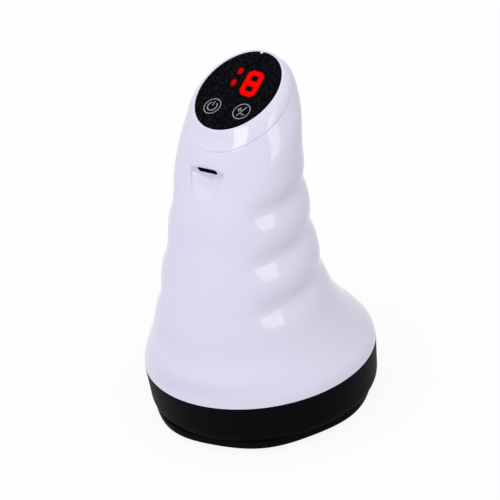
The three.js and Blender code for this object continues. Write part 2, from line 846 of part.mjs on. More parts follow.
// The drive plate and the massage head, which circle together without turning
const plateBossWall = 3;
const lipWidth = 0.8; // of the boss's lip under the bearing's outer ring
const hookCount = 3;
const hookHalfWidth = 3;
const hookThickness = 1.8;
const hookLip = 1;
const hookCircle = studCircle - studHole - hookThickness - hookLip - runningGap;
const lobeCount = 7;
const lobeDepth = 0.55;
const lobeTurn = THREE.MathUtils.degToRad(-1);
const lobeSteps = 9; // points on each lobe's edge
const edgeClear = 0.15; // of the circling rim inside the skirt's outline
const headRim = skirtOuter - orbitRadius - lobeDepth - edgeClear;
const headChamfer = 1;
const headPlugRadius = plateRadius - headChamfer;
const nodeRadius = 7.4;
const nodeInset = 7.5; // of the nodes inside the rim
const nodeCircle = headRim - nodeInset - nodeRadius;
const nodeCrest = 2.6; // radius of its flat crest
const middleNodeRadius = 11;
const middleNodeCrest = 4.5;
const nodeSteps = 4;
const pocketClear = 4.4; // round the drive plate's boss
const pocketRadius = bearingRadius + plateBossWall + pocketClear;
const pocketFloor = bearingBottom - washerThickness - screwHeadHeight - runningGap;

function aroundHooks(make) {
  return Array.from({ length: hookCount }, (_, i) => make((i / hookCount) * turn + turn / 4));
}

function hookBlock(angle, inner, outer, halfWidth, low, high) {
  const geometry = new THREE.BoxGeometry(outer - inner, 2 * halfWidth, high - low);
  geometry.translate((inner + outer) / 2, 0, (low + high) / 2).rotateZ(angle);
  return solid(geometry.translate(...pinAt, 0));
}

// The slot for a hook leaves it room to bend inwards by its lip
function hookSlot(angle) {
  const inner = hookCircle - hookLip - gap;
  const outer = hookCircle + hookThickness + gap;
  return hookBlock(angle, inner, outer, hookHalfWidth + gap, 0, overrun);
}

function hook(angle) {
  const outer = hookCircle + hookThickness;
  const low = plateTop + gap;
  const top = low + hookLip;
  const arm = hookBlock(angle, hookCircle, outer, hookHalfWidth, plugTop - fit, top);
  return joined(arm, hookBlock(angle, hookCircle, outer + hookLip, hookHalfWidth, low, top));
}

function drivePlate() {
  const plate = rod(plateRadius, plateBottom, plateTop, pinAt, plateSides);
  const boss = rod(bearingRadius + plateBossWall, bearingBottom - lipWidth, bearingTop, pinAt);
  const seat = rod(bearingRadius + fit, bearingBottom, overrun, pinAt);
  const studHoles = aroundStuds((at) => bore(studHole, [at[0] + pinAt[0], at[1] + pinAt[1]]));
  const lipBore = bore(bearingRadius - lipWidth, pinAt);
  return cut(joined(plate, boss), seat, lipBore, ...studHoles, ...aroundHooks(hookSlot));
}

function lobedRing(inset, height) {
  const count = lobeCount * lobeSteps;
  return Array.from({ length: count }, (_, i) => {
    const angle = lobeTurn + (i / count) * turn;
    const radius = headRim - inset + lobeDepth * Math.cos(lobeCount * (angle - lobeTurn));
    const x = pinAt[0] + radius * Math.cos(angle);
    return new THREE.Vector3(x, pinAt[1] + radius * Math.sin(angle), height);
  });
}

// A rounded kneading node that ends in a small flat crest on the surface
function kneadingNode(radius, crest, at) {
  const top = nodeHeight + fit;
  const arc = Array.from({ length: nodeSteps + 1 }, (_, i) => {
    const angle = ((i / nodeSteps) * turn) / 4;
    return [crest + (radius - crest) * Math.sin(angle), top * (1 - Math.cos(angle))];
  });
  return turned([[0, 0], ...arc, [0, top]], nodeSides, at);
}

function massageHead() {
  const rim = loft([
    lobedRing(headChamfer, nodeHeight),
    lobedRing(0, nodeHeight + headChamfer),
    lobedRing(0, rimTop),
  ]);
  const plug = rod(headPlugRadius, rimTop - fit, plugTop, pinAt, plateSides);
  const pocket = rod(pocketRadius, pocketFloor, overrun, pinAt);
  const around = Array.from({ length: lobeCount }, (_, i) => {
    const angle = lobeTurn + (i / lobeCount) * turn;
    const x = pinAt[0] + nodeCircle * Math.cos(angle);
    return kneadingNode(nodeRadius, nodeCrest, [x, pinAt[1] + nodeCircle * Math.sin(angle)]);
  });
  const middle = kneadingNode(middleNodeRadius, middleNodeCrest, pinAt);
  return joined(cut(joined(rim, plug), pocket), ...around, middle, ...aroundHooks(hook));
}

// The battery tray on its two feet, the cells and the main board
const cellRadius = 9.1;
const cellSpacing = 0.4; // between the two cells
const cellSetback = 4;
const nippleRadius = 3;
const nippleHeight = 0.8;
const linkThickness = 0.3;
const linkHalfDepth = 3.5;
const trayFoot = 2;
const trayBackHalf = 15.6;
const legHalfDepth = 6;
const cheekHeight = 25;
const mainBoardPlay = 0.5; // on each side, from the tray's cheeks
const mainBoardDrop = 4.5; // of its top edge under the cells' tops
const mainBoardThickness = 1.6;
const mainBoardClear = 0.9; // in front of the cells
const chipHalf = 4;
const chipHeight = 1.2;
const cellAcross = cellRadius + cellSpacing / 2;
const linkLow = cellTop + nippleHeight;
const mainBoardBack = cellSetback - cellRadius - mainBoardClear;
const mainBoardFront = mainBoardBack - mainBoardThickness;
const mainBoardTop = cellTop - mainBoardDrop;
const trayFront = mainBoardFront - chipHeight - gap;
const trayInner = cellAcross + cellRadius + gap;
const mainBoardHalfWidth = trayInner - mainBoardPlay;

function batteryTray() {
  const back = cellSetback + cellRadius + gap;
  const outer = trayInner + trayWall;
  const shelf = block([-outer, trayFront, shelfLow], [outer, back + trayWall, shelfTop]);
  const backPlate = block([-trayBackHalf, back, shelfLow], [trayBackHalf, back + trayWall, cellTop]);
  const sides = [-1, 1].flatMap((side) => [
    sideBlock(side, [trayInner, trayFront, shelfLow], [outer, cellSetback, shelfTop + cheekHeight]),
    sideBlock(
      side,
      [legInner, -legHalfDepth, seamHeight],
      [legInner + trayWall, legHalfDepth, shelfLow + trayShelf / 2],
    ),
    sideBlock(
      side,
      [legInner, -legHalfDepth, seamHeight],
      [trayFootAcross + screwHeadRadius, legHalfDepth, seamHeight + trayFoot],
    ),
  ]);
  const holes = [-1, 1].map((side) => {
    const at = [side * trayFootAcross, 0];
    return rod(screwRadius + fit, 0, seamHeight + 2 * trayFoot, at, boltSides);
  });
  return cut(joined(shelf, backPlate, ...sides), ...holes);
}

function trayScrew(side) {
  const seat = seamHeight + trayFoot;
  const reach = trayFoot + chassisThickness - gap;
  return downScrew(screwRadius, seat, reach, [side * trayFootAcross, 0]);
}

function cell(side) {
  const at = [side * cellAcross, cellSetback];
  const edge = cellSpacing;
  const can = turned(
    [
      [0, shelfTop],
      [cellRadius - edge, shelfTop],
      [cellRadius, shelfTop + edge],
      [cellRadius, cellTop - edge],
      [cellRadius - edge, cellTop],
      [0, cellTop],
    ],
    fineSides,
    at,
  );
  return joined(can, rod(nippleRadius, cellTop - fit, linkLow, at, boltSides));
}

function cellLink() {
  const across = cellAcross + nippleRadius;
  return block(
    [-across, cellSetback - linkHalfDepth, linkLow],
    [across, cellSetback + linkHalfDepth, linkLow + linkThickness],
  );
}

function mainBoard() {
  const board = block(
    [-mainBoardHalfWidth, mainBoardFront, shelfTop],
    [mainBoardHalfWidth, mainBoardBack, mainBoardTop],
  );
  const middle = (shelfTop + mainBoardTop) / 2;
  const chip = block(
    [-chipHalf, mainBoardFront - chipHeight, middle - chipHalf],
    [chipHalf, mainBoardFront + fit, middle + chipHalf],
  );
  return joined(board, chip);
}

// The leads and the display's ribbon, each a section drawn along a smooth route
const leadRadius = 0.8;
const leadClear = 2.2; // between a lead's middle and the edge that it goes round
const motorLeadAcross = 6;
const ribbonHalfWidth = 2;
const ribbonHalfHeight = 0.2;
const ribbonAcross = -5.5;
const boardFace = mainBoardFront - gap;

function lead(section, points) {
  const extrudePath = new THREE.CatmullRomCurve3(points.map((p) => new THREE.Vector3(...p)));
  return solid(new THREE.ExtrudeGeometry(section, { steps: leadSteps, extrudePath }));
}

function roundSection() {
  const corners = Array.from({ length: leadSides }, (_, i) => {
    const angle = (i / leadSides) * turn;
    return new THREE.Vector2(leadRadius * Math.cos(angle), leadRadius * Math.sin(angle));
  });
  return new THREE.Shape(corners);
}

function ribbonSection() {
  const corners = [
    [-1, -1],
    [1, -1],
    [1, 1],
    [-1, 1],
  ];
  return new THREE.Shape(
    corners.map(([x, y]) => new THREE.Vector2(x * ribbonHalfWidth, y * ribbonHalfHeight)),
  );
}

function motorLead(side) {
  const x = side * motorLeadAcross;
  const terminal = capShoulder + gap;
  const out = trayFront - leadClear;
  const arrival = shelfTop + 3 * leadClear;
  return lead(roundSection(), [
    [x, trayFront, terminal],
    [x, trayFront, terminal + leadClear / 2],
    [x, out, shelfLow],
    [x, out, shelfTop + 2 * leadClear],
    [x, boardFace - leadClear / 2, arrival],
    [x, boardFace, arrival],
  ]);
}

function batteryLead() {
  const top = linkLow + linkThickness + gap;
  const arrival = mainBoardTop - 2 * leadClear;
  return lead(roundSection(), [
    [0, cellSetback, top],
    [0, cellSetback, top + leadClear / 2],
    [0, cellSetback - leadClear, top + leadClear],
    [0, boardFace - leadClear / 2, top],
    [0, boardFace - leadClear, mainBoardTop - leadClear],
    [0, boardFace - leadClear / 2, arrival],
    [0, boardFace, arrival],
  ]);
}

// From the charging board's rear edge down to the main board
function chargeLead() {
  const x = chargeBoardHalfWidth / 2;
  const start = new THREE.Vector3(x, -chargeBoardDrop - boardThickness / 2, boardFar - gap);
  const clear = start.clone().setZ(start.z - leadClear / 4);
  start.applyMatrix4(inlet.matrixWorld);
  clear.applyMatrix4(inlet.matrixWorld);
  const arrival = mainBoardTop - 2 * leadClear;
  return lead(roundSection(), [
    start.toArray(),
    clear.toArray(),
    [x, start.y + leadClear / 2, start.z - leadClear],
    [x, start.y, cellTop + leadClear],
    [x, boardFace, mainBoardTop + leadClear],
    [x, boardFace - leadClear, mainBoardTop - leadClear / 2],
    [x, boardFace - leadClear / 2, arrival],
    [x, boardFace, arrival],
  ]);
}

// From the display board's underside, behind the charging board, to the main board's top edge
function displayRibbon() {
  const x = ribbonAcross;
  const start = underPanel(boardUnderside + gap);
  const clear = underPanel(boardUnderside + leadClear);
  const boardMiddle = (mainBoardFront + mainBoardBack) / 2;
  return lead(ribbonSection(), [
    [x, start[1], start[2]],
    [x, clear[1], clear[2]],
    [x, cellSetback + leadClear, cellTop + 5 * leadClear],
    [x, cellSetback - leadClear, cellTop + 2 * leadClear],
    [x, mainBoardBack + leadClear, cellTop + leadClear],
    [x, boardMiddle, mainBoardTop + leadClear],
    [x, boardMiddle, mainBoardTop + gap],
  ]);
}

const glossWhite = { color: "#e4e2f0", roughness: 0.22 };
const satinBlack = { color: "#131318", roughness: 0.5 };
const panelBlack = { color: "#08080c", roughness: 0.15 };
const frameGrey = { color: "#5c6068", roughness: 0.6 };
const sleeveRubber = { color: "#3a3a3f", roughness: 0.85 };
const boardGreen = { color: "#1c5a3a", roughness: 0.5 };
const displayRed = { color: "#d01c1c", roughness: 0.4 };
const padGrey = { color: "#6f7278", roughness: 0.7 };
const cellBlue = { color: "#2c6db0", roughness: 0.4 };
const leadRed = { color: "#c21818", roughness: 0.6 };
const ribbonTan = { color: "#b98a4a", roughness: 0.5 };
const magnetIron = { color: "#4c4e54", roughness: 0.7 };
const brightSteel = { color: "#b9bcc2", roughness: 0.3, metalness: 1 };
const darkSteel = { color: "#6f7278", roughness: 0.4, metalness: 1 };
const armatureCopper = { color: "#b5713c", roughness: 0.4, metalness: 1 };

function mesh(name, manifold, finish) {
  const made = new THREE.Mesh(geometryOf(manifold), new THREE.MeshStandardMaterial(finish));
  made.name = name;
  return made;
}

const group = new THREE.Group();
group.add(
  mesh("crown_cap", crownCap(), glossWhite),
  mesh("skirt_ring", skirtRing(), satinBlack),
  mesh("massage_head", massageHead(), satinBlack),
  mesh("chassis", chassis(), frameGrey),
  mesh("battery_tray", batteryTray(), frameGrey),
  mesh("cell_link_top", cellLink(), brightSteel),
  mesh("main_board", mainBoard(), boardGreen),
  mesh("motor_can", motorCan(), brightSteel),
  mesh("motor_end_cap", motorEndCap(), satinBlack),
  mesh("armature", armature(), armatureCopper),
  mesh("motor_shaft", motorShaft(), brightSteel),
  mesh("eccentric_hub", eccentricHub(), darkSteel),
  mesh("hub_screw", hubScrew(), darkSteel),
  mesh("counterweight", counterweight(), darkSteel),
  mesh("counterweight_screw", counterweightScrew(), brightSteel),
  mesh("bearing_inner_ring", race(innerRaceRadius, pinRadius + fit), brightSteel),
  mesh("bearing_cage", bearingCage(), brightSteel),
  mesh("bearing_outer_ring", race(bearingRadius, outerRaceRadius), brightSteel),
  mesh("pin_washer", pinWasher(), brightSteel),
  mesh("pin_screw", pinScrew(), brightSteel),
  mesh("drive_plate", drivePlate(), frameGrey),
  mesh("battery_lead", batteryLead(), leadRed),
  mesh("charge_lead", chargeLead(), leadRed),
  mesh("motor_lead_red", motorLead(-1), leadRed),
  mesh("motor_lead_black", motorLead(1), satinBlack),
  mesh("display_ribbon", displayRibbon(), ribbonTan),
);
const sides = { left: -1, right: 1 };
for (const [name, side] of Object.entries(sides)) {
  group.add(
    mesh(name + "_shell", shell(side), glossWhite),
    mesh("cell_" + name, cell(side), cellBlue),
    mesh("magnet_" + name, magnet(side), magnetIron),
    mesh("motor_screw_" + name, motorScrew(side), brightSteel),
    mesh("tray_screw_" + name, trayScrew(side), brightSteel),
  );
  crown.add(mesh("display_screw_" + name, displayScrew(side), brightSteel));
}
const bossPlaces = [-1, 1].flatMap((side) => [-1, 1].map((end) => bossPlace(side, end)));
bossPlaces.forEach((at, i) =>
  group.add(mesh("chassis_screw_" + (i + 1), chassisScrew(at), brightSteel)),
);
aroundStuds(studSleeve).forEach((sleeve, i) =>
  group.add(mesh("stud_sleeve_" + (i + 1), sleeve, sleeveRubber)),
);

crown.add(
  mesh("touch_panel", touchPanel(), panelBlack),
  mesh("display_board", displayBoard(), boardGreen),
  mesh("digit_display", digitDisplay(), displayRed),
  mesh("touch_pad_power", touchPad(-1), padGrey),
  mesh("touch_pad_level", touchPad(1), padGrey),
);
inlet.add(
  mesh("charge_board", chargeBoard(), boardGreen),
  mesh("charge_socket", chargeSocket(), brightSteel),
);
group.add(crown, inlet);

export default group;
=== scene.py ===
# %% [markdown]
# # A hand-held body massager
# The real object is a glossy white grip with finger grooves, a slanted touch panel on top, a
# small scoop with a charging slot in front, a satin black ring and a lobed massage head under
# it. It could all be modelled afresh, but the imported CAD model already says where each piece
# goes and what moves, so it is the fixed frame. The outer pieces are made again here with the
# fineness that their gloss needs, and each stands for its CAD node. The lit digit, the printed
# marks and a black sleeve in the slot, which is painted shade for the slot's dark inside, are
# added. The pieces inside keep their CAD shapes and get their own finishes.

# %% Load the frame
import json
import math
import bpy
import numpy as np
from mathutils import Matrix, Vector


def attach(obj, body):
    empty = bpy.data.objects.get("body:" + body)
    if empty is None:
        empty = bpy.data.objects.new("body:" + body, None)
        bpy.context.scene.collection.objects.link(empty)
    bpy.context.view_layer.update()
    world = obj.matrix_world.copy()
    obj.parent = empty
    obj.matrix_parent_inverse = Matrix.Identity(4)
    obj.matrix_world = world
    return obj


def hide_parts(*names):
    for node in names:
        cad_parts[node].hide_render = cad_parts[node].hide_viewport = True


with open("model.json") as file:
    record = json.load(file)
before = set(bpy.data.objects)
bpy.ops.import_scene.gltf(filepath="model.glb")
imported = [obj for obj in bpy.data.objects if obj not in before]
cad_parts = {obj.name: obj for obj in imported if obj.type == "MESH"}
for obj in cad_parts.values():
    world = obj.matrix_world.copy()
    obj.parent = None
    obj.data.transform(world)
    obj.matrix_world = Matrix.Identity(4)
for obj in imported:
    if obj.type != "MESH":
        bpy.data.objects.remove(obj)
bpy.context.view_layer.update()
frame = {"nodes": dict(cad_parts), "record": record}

# %% [markdown]
# ## From points to a piece
# Blender works in metres, but a maker of small mouldings thinks in millimetres, so all shapes
# here are drawn in millimetres and scaled once, when the mesh is made. A moulded skin could be
# sculpted or pulled from a primitive, but then its sizes are lost. A net of points with rows
# and columns keeps each of them. The net is closed into a solid, because a real moulding has a
# wall, and the slot can then be cut out of it.

# %% Nets of points
MM = 0.001

def net_faces(rows, columns, closed=False, first=0):
    """The four-sided faces of a net; a closed one joins its last column to its first."""
    row, column = np.meshgrid(
        np.arange(rows - 1), np.arange(columns - (not closed)), indexing="ij"
    )
    after = (column + 1) % columns
    corners = [
        row * columns + column,
        row * columns + after,
        (row + 1) * columns + after,
        (row + 1) * columns + column,
    ]
    return (np.stack(corners, -1).reshape(-1, 4) + first).tolist()

def loop_faces(rows, columns):
    """The faces of a net that closes both ways, like the skin of a tyre."""
    faces = net_faces(rows, columns, closed=True)
    last = (rows - 1) * columns
    for here in range(columns):
        after = (here + 1) % columns
        faces.append([last + here, last + after, after, here])
    return faces

def capped_faces(rows, columns):
    """The faces of a net that closes into a tube, with a lid on each end."""
    faces = net_faces(rows, columns, closed=True)
    faces.append(list(range(columns))[::-1])
    faces.append([(rows - 1) * columns + column for column in range(columns)])
    return faces

# %% From a net to a piece
SHARP_EDGE = math.radians(40)

def add_piece(name, points, faces, body, finish_slot=None, stands_for=()):
    """A smooth mesh that rides on a body; its points are in millimetres."""
    mesh = bpy.data.meshes.new(name)
    mesh.from_pydata((np.reshape(points, (-1, 3)) * MM).tolist(), [], faces)
    mesh.validate()
    mesh.shade_smooth()
    mesh.set_sharp_from_angle(angle=SHARP_EDGE)
    piece = bpy.data.objects.new(name, mesh)
    bpy.context.scene.collection.objects.link(piece)
    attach(piece, body)
    if stands_for:
        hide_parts(*stands_for)
    print(name, len(mesh.vertices), "points")
    return piece

# %% [markdown]
# ## The grip's form
# The grip is a stack of ovals that runs from the round base up to the tilted panel. Each row
# below says how far up an oval lies, how far back its centre is, and how deep and how wide it
# is, from 1 at the base circle to 0 at the panel's rim. A subdivision cage could give such a
# form too, but it only comes near its points, and this skin has to meet the seam and the panel
# exactly. So a smooth curve runs through the rows.

# %% The grip's ovals
OVALS = np.array([
    [0, 0, 1, 1],
    [0.035, -0.02, 0.965, 0.972],
    [0.09, -0.23, 0.875, 0.845],
    [0.157, -0.46, 0.705, 0.71],
    [0.245, -0.64, 0.56, 0.58],
    [0.365, -0.52, 0.432, 0.48],
    [0.54, -0.21, 0.284, 0.362],
    [0.73, 0.18, 0.245, 0.284],
    [0.87, 0.7, 0.24, 0.228],
    [0.948, 0.95, 0.162, 0.125],
    [0.983, 1, 0.045, 0.07],
    [1, 1, 0, 0],
])

def oval_at(rise):
    """Centre, depth and width shares at a rise, on a smooth curve through the rows."""
    knots, rows = OVALS[:, 0], OVALS[:, 1:]
    chords = np.diff(rows, axis=0) / np.diff(knots)[:, None]
    slopes = np.vstack([chords[:1], (chords[1:] + chords[:-1]) / 2, chords[-1:]])
    rise = np.clip(rise, 0, 1)
    i = np.clip(np.searchsorted(knots, rise, side="right") - 1, 0, len(knots) - 2)
    step = (knots[i + 1] - knots[i])[..., None]
    t = (rise[..., None] - knots[i][..., None]) / step
    return (
        (2 * t**3 - 3 * t**2 + 1) * rows[i]
        + (t**3 - 2 * t**2 + t) * step * slopes[i]
        + (3 * t**2 - 2 * t**3) * rows[i + 1]
        + (t**3 - t**2) * step * slopes[i + 1]
    )

print("ovals in the stack:", len(OVALS))

# %% [markdown]
# ## Finger grooves
# Higher up the ovals lean with the panel, and three soft grooves hold the fingers. On the real
# grip they are deepest at the sides, shallower behind, and fade out before they reach the
# front, where they also dip by about 3 mm. Displacement or a sculpting brush could press them
# in. Here each is a bell curve that is taken off the oval's radius, because then its depth,
# its width and its fading are single numbers that can be compared with the picture.

# %% The grip's sizes
SEAM_HEIGHT = 23.0
SEAM_RADIUS = 50.0
BODY_HEIGHT = 115.0
PANEL_SETBACK = 8.5
PANEL_TILT = math.radians(27.6)
PANEL_HALF = np.array([18.2, 20.4])
BEZEL = 1.1
LEAN_RISES = (0.43, 0.91)
GROOVE_RISES = (0.343, 0.509, 0.674)
GROOVE_DIPS = (3.0, 3.2, 3.0)
GROOVE_DEPTH = 2.0
SIDE_SPREAD = 4.6
FRONT_SPREAD = 4.9
GROOVE_FADE = np.radians([32, 66])
DIP_TURN = np.radians([60, 125])
BACK_TURN = np.radians([90, 135])
BACK_SHARE = 0.6

# %% The grip's skin
def ease(value, low, high):
    """0 below low, 1 above high, and a smooth step between."""
    share = np.clip((value - low) / (high - low), 0, 1)
    return share * share * (3 - 2 * share)

def grip_width(rise):
    """Half the width of the oval at a rise."""
    rim = PANEL_HALF[0] + BEZEL
    return rim + oval_at(rise)[..., 2] * (SEAM_RADIUS - rim)

def grip_point(rise, angle, inset=0.0):
    """Points of the grip's skin, or of a skin that lies deeper by the inset."""
    rise, angle = np.broadcast_arrays(np.asarray(rise, float), np.asarray(angle, float))
    shares = oval_at(rise)
    depth = PANEL_HALF[1] + BEZEL + shares[..., 1] * (SEAM_RADIUS - PANEL_HALF[1] - BEZEL)
    centre = shares[..., 0] * PANEL_SETBACK
    height = SEAM_HEIGHT + rise * BODY_HEIGHT
    lean = PANEL_TILT * ease(rise, *LEAN_RISES)
    across = grip_width(rise) * np.cos(angle)
    along = depth * np.sin(angle)
    level = height + along * np.sin(lean)
    around = np.abs(np.arctan2(across, -along))
    dip = 1 - ease(around, *DIP_TURN)
    fade = ease(around, *GROOVE_FADE) * (1 - (1 - BACK_SHARE) * ease(around, *BACK_TURN))
    spread = SIDE_SPREAD + (FRONT_SPREAD - SIDE_SPREAD) * dip
    groove = 0
    for share, drop in zip(GROOVE_RISES, GROOVE_DIPS):
        middle = SEAM_HEIGHT + share * BODY_HEIGHT - drop * dip
        groove = groove + GROOVE_DEPTH * np.exp(-(((level - middle) / spread) ** 2))
    keep = 1 - (groove * fade + inset) / np.hypot(across, along)
    return np.stack(
        [
            across * keep,
            centre + along * keep * np.cos(lean),
            height + along * keep * np.sin(lean),
        ],
        -1,
    )

# %% Places on the grip
FRONT = -math.pi / 2
FINE_RISES = np.linspace(0, 1, 4001)
FRONT_LINE = grip_point(FINE_RISES, FRONT)

def front_y(height):
    """The skin's Y on the middle plane in front, at a height."""
    return np.interp(height, FRONT_LINE[:, 2], FRONT_LINE[:, 1])

PANEL_CENTRE = np.array([0, PANEL_SETBACK, SEAM_HEIGHT + BODY_HEIGHT])

def tipped(points, tilt, origin):
    """Points drawn flat, turned about X by the tilt and carried to their origin."""
    x, y, z = np.moveaxis(np.asarray(points, float), -1, 0)
    c, s = math.cos(tilt), math.sin(tilt)
    return np.stack([x, y * c - z * s, y * s + z * c], -1) + origin

def rise_under_panel(depth):
    """The rise whose oval lies a depth under the panel's face, near the top."""
    share = oval_at(FINE_RISES)[:, 0]
    y = share * PANEL_SETBACK - PANEL_CENTRE[1]
    z = SEAM_HEIGHT + FINE_RISES * BODY_HEIGHT - PANEL_CENTRE[2]
    under = y * math.sin(PANEL_TILT) - z * math.cos(PANEL_TILT)
    near_top = FINE_RISES > LEAN_RISES[1]
    return float(np.interp(-depth, -under[near_top], FINE_RISES[near_top]))

print("front of the grip 80 mm up, mm:", round(float(front_y(80)), 2))

# %% [markdown]
# ## The scoop
# The charging inlet sits in a small scoop: a flat wall that leans inwards, with the slot near
# its top edge, and under it a V-shaped bowl with a small step along its sides that runs out to
# the skin. It could be cut with a Boolean, but that leaves a hard edge, and a moulded one is
# softly rounded. Because no part of it overhangs, its depth can be worked out for every point
# of the net, and a smooth maximum of the skin and the scoop rounds the edge.

# %% The scoop's depth
SCOOP_TOP = 115.2
SCOOP_HALF = 8.4
SCOOP_HEIGHT = 11.6
SCOOP_WALL = 6.35
SCOOP_LEAN = math.radians(19.3)
SCOOP_ROUNDING = 2.6
SIDE_STEP = 1.3
SIDE_STEEPNESS = 4.5
EDGE_BLEND = 0.3
FRONT_DEPTH = 24.0
CREASE_ROUND = 0.06
NARROWEST_MOUTH = 0.3
NARROWEST_FLOOR = 0.2

def soft_max(a, b, blend):
    """The larger of two values, rounded where they meet."""
    near = np.clip(1 - np.abs(a - b) / blend, 0, 1)
    return np.maximum(a, b) + blend * near**2 / 4

def scoop_y(x, z):
    """The Y of the scoop's surface; it lies before the skin where there is no scoop."""
    tip = SCOOP_TOP - SCOOP_HEIGHT
    foot = SCOOP_TOP - SCOOP_WALL
    foot_y = front_y(SCOOP_TOP) + math.tan(SCOOP_LEAN) * SCOOP_WALL
    slope = (foot_y - front_y(tip)) / (foot - tip)
    share = np.clip((SCOOP_TOP - z) / SCOOP_HEIGHT, 0, 1)
    angle = np.arcsin(share ** (SCOOP_ROUNDING / 2))
    half = np.maximum(SCOOP_HALF * np.cos(angle) ** (2 / SCOOP_ROUNDING), NARROWEST_MOUTH)
    width = grip_width(np.interp(z, FRONT_LINE[:, 2], FINE_RISES))
    skin = front_y(z) + FRONT_DEPTH * (1 - np.sqrt(1 - (half / width) ** 2))
    crease = front_y(tip) + slope * (z - tip)
    step = SIDE_STEP * np.clip(1 - share**3, 0, 1)
    side = np.minimum(skin + step, crease)
    floor_half = np.maximum(half - step / SIDE_STEEPNESS, NARROWEST_FLOOR)
    across = np.sqrt(x**2 + CREASE_ROUND**2) - CREASE_ROUND
    bowl = crease + (side - crease) * np.minimum(across / floor_half, 1)
    bowl = bowl - SIDE_STEEPNESS * np.maximum(across - floor_half, 0)
    wall = front_y(SCOOP_TOP) + (SCOOP_TOP - z) * math.tan(SCOOP_LEAN)
    return -soft_max(-wall, -bowl, EDGE_BLEND)

foot_height = SCOOP_TOP - SCOOP_WALL
foot_depth = scoop_y(0.0, foot_height) - front_y(foot_height)
print("depth of the scoop at the foot of its wall, mm:", round(float(foot_depth), 2))

# %% [markdown]
# ## The white half shells
# The grip is moulded in two halves that meet on the middle plane. A Solidify modifier could give
# one skin its wall, but it also thickens the scoop's rounding and the rims. So each half is one
# net for the outside, one for the inside, and a strip round the edge that joins them. The
# columns crowd together at the parting line and across the scoop, and the rows crowd together
# at the scoop, so that the points are spent where the surface turns fast. A tiny rounding at
# each edge gives the hairline that the eye reads as two parts meeting.

# %% Rows and columns of a half shell
SEAM_LIP = 0.16
CROWN_DROP = 4.6
HAIRLINE = 0.12
FINE_ROWS = (102.4, 116.6)
FINE_ROW = 0.2
SHELL_ROW = 0.85
SCOOP_COLUMNS = (6.4, 9.0)
MIDDLE_COLUMNS = 110

def lip_inset(distance, radius):
    """How far a rounded edge falls away at a distance from the edge."""
    share = np.clip(1 - distance / radius, 0, 1)
    return radius * (1 - np.sqrt(1 - share**2))

shell_top = rise_under_panel(CROWN_DROP + HAIRLINE / 2)
top_front = float(np.interp(shell_top, FINE_RISES, FRONT_LINE[:, 2]))
lip_steps = np.array([0, 0.04, 0.1, 0.18, 0.5])
front_heights = np.concatenate([
    SEAM_HEIGHT + lip_steps,
    np.arange(SEAM_HEIGHT + 1.1, FINE_ROWS[0], SHELL_ROW),
    np.arange(*FINE_ROWS, FINE_ROW),
    np.arange(FINE_ROWS[1] + 0.4, top_front - 0.8, 0.8),
    top_front - lip_steps[::-1],
])
shell_rises = np.interp(front_heights, FRONT_LINE[:, 2], FINE_RISES)
near_columns = np.concatenate([
    [0, 0.03, 0.07, 0.12, 0.25],
    np.arange(0.45, SCOOP_COLUMNS[0], 0.2),
    np.arange(*SCOOP_COLUMNS, 0.1),
    np.arange(SCOOP_COLUMNS[1] + 0.1, 9.8, 0.2),
])
far_columns = np.array([0.6, 0.25, 0.12, 0.07, 0.03, 0])
print("rows in a half shell:", len(shell_rises))
print("columns near its parting line:", len(near_columns))

# %% The net of one half
WALL = 2.2
PARTING_LIP = 0.1
SCOOP_BACKING = 1.8
SCOOP_REACH = 9.6
SCOOP_HEIGHTS = (100, 118)

def shell_angles(rises):
    """Angles from the front round the right half to the back, for each row."""
    width = grip_width(rises)[:, None]
    near = FRONT + np.arcsin(near_columns / width)
    far = -FRONT - np.arcsin(far_columns / width)
    share = np.linspace(0, 1, MIDDLE_COLUMNS + 2)[1:-1]
    middle = near[:, -1:] + (far[:, :1] - near[:, -1:]) * share
    return np.hstack([near, middle, far])

def half_shell(side, inset):
    """The net of one half: 1 is the right half and -1 the left one."""
    rises = shell_rises[:, None]
    angles = shell_angles(shell_rises)
    skin = grip_point(rises, angles)
    from_seam = (shell_rises - shell_rises[0]) * BODY_HEIGHT
    from_crown = (shell_rises[-1] - shell_rises) * BODY_HEIGHT
    lip = lip_inset(np.minimum(from_seam, from_crown)[:, None], SEAM_LIP)
    lip = np.maximum(lip, lip_inset(np.abs(skin[..., 0]), PARTING_LIP))
    points = grip_point(rises, angles, inset + (0 if inset else lip))
    x, y, z = np.moveaxis(points, -1, 0)
    near_scoop = (y < 0) & (np.abs(x) < SCOOP_REACH)
    near_scoop &= (z > SCOOP_HEIGHTS[0]) & (z < SCOOP_HEIGHTS[1])
    x, y, z = points[near_scoop].T
    backing = SCOOP_BACKING if inset else lip_inset(np.abs(x), PARTING_LIP)
    points[near_scoop, 1] = soft_max(y, scoop_y(x, z) + backing, EDGE_BLEND)
    return points * (side, 1, 1)

# %% Close and make both halves
def shell_solid(side):
    """Points and faces of a closed half shell."""
    outside, inside = half_shell(side, 0), half_shell(side, WALL)
    rows, columns = outside.shape[:2]
    inner = rows * columns
    faces = net_faces(rows, columns)
    faces += [face[::-1] for face in net_faces(rows, columns, first=inner)]
    border = list(range(columns))
    border += [row * columns + columns - 1 for row in range(1, rows)]
    border += [(rows - 1) * columns + column for column in range(columns - 2, -1, -1)]
    border += [row * columns for row in range(rows - 2, 0, -1)]
    for here, there in zip(border, border[1:] + border[:1]):
        faces.append([there, here, here + inner, there + inner])
    if side < 0:
        faces = [face[::-1] for face in faces]
    return np.concatenate([outside.reshape(-1, 3), inside.reshape(-1, 3)]), faces

shells = {}
for name, side in (("left_shell", -1), ("right_shell", 1)):
    points, faces = shell_solid(side)
    shells[name] = add_piece("moulded_" + name, points, faces, "body", "white_shell", [name])

# %% [markdown]
# ## The charging slot
# The slot is a stadium shape that runs straight into the scoop's wall. It could be left as a
# hole in the net, but then every row near it has to bend round its ends. Here a Boolean is the
# right tool, because the real slot is a clean cut. The cutter is a closed prism, used once on
# each half and then removed.

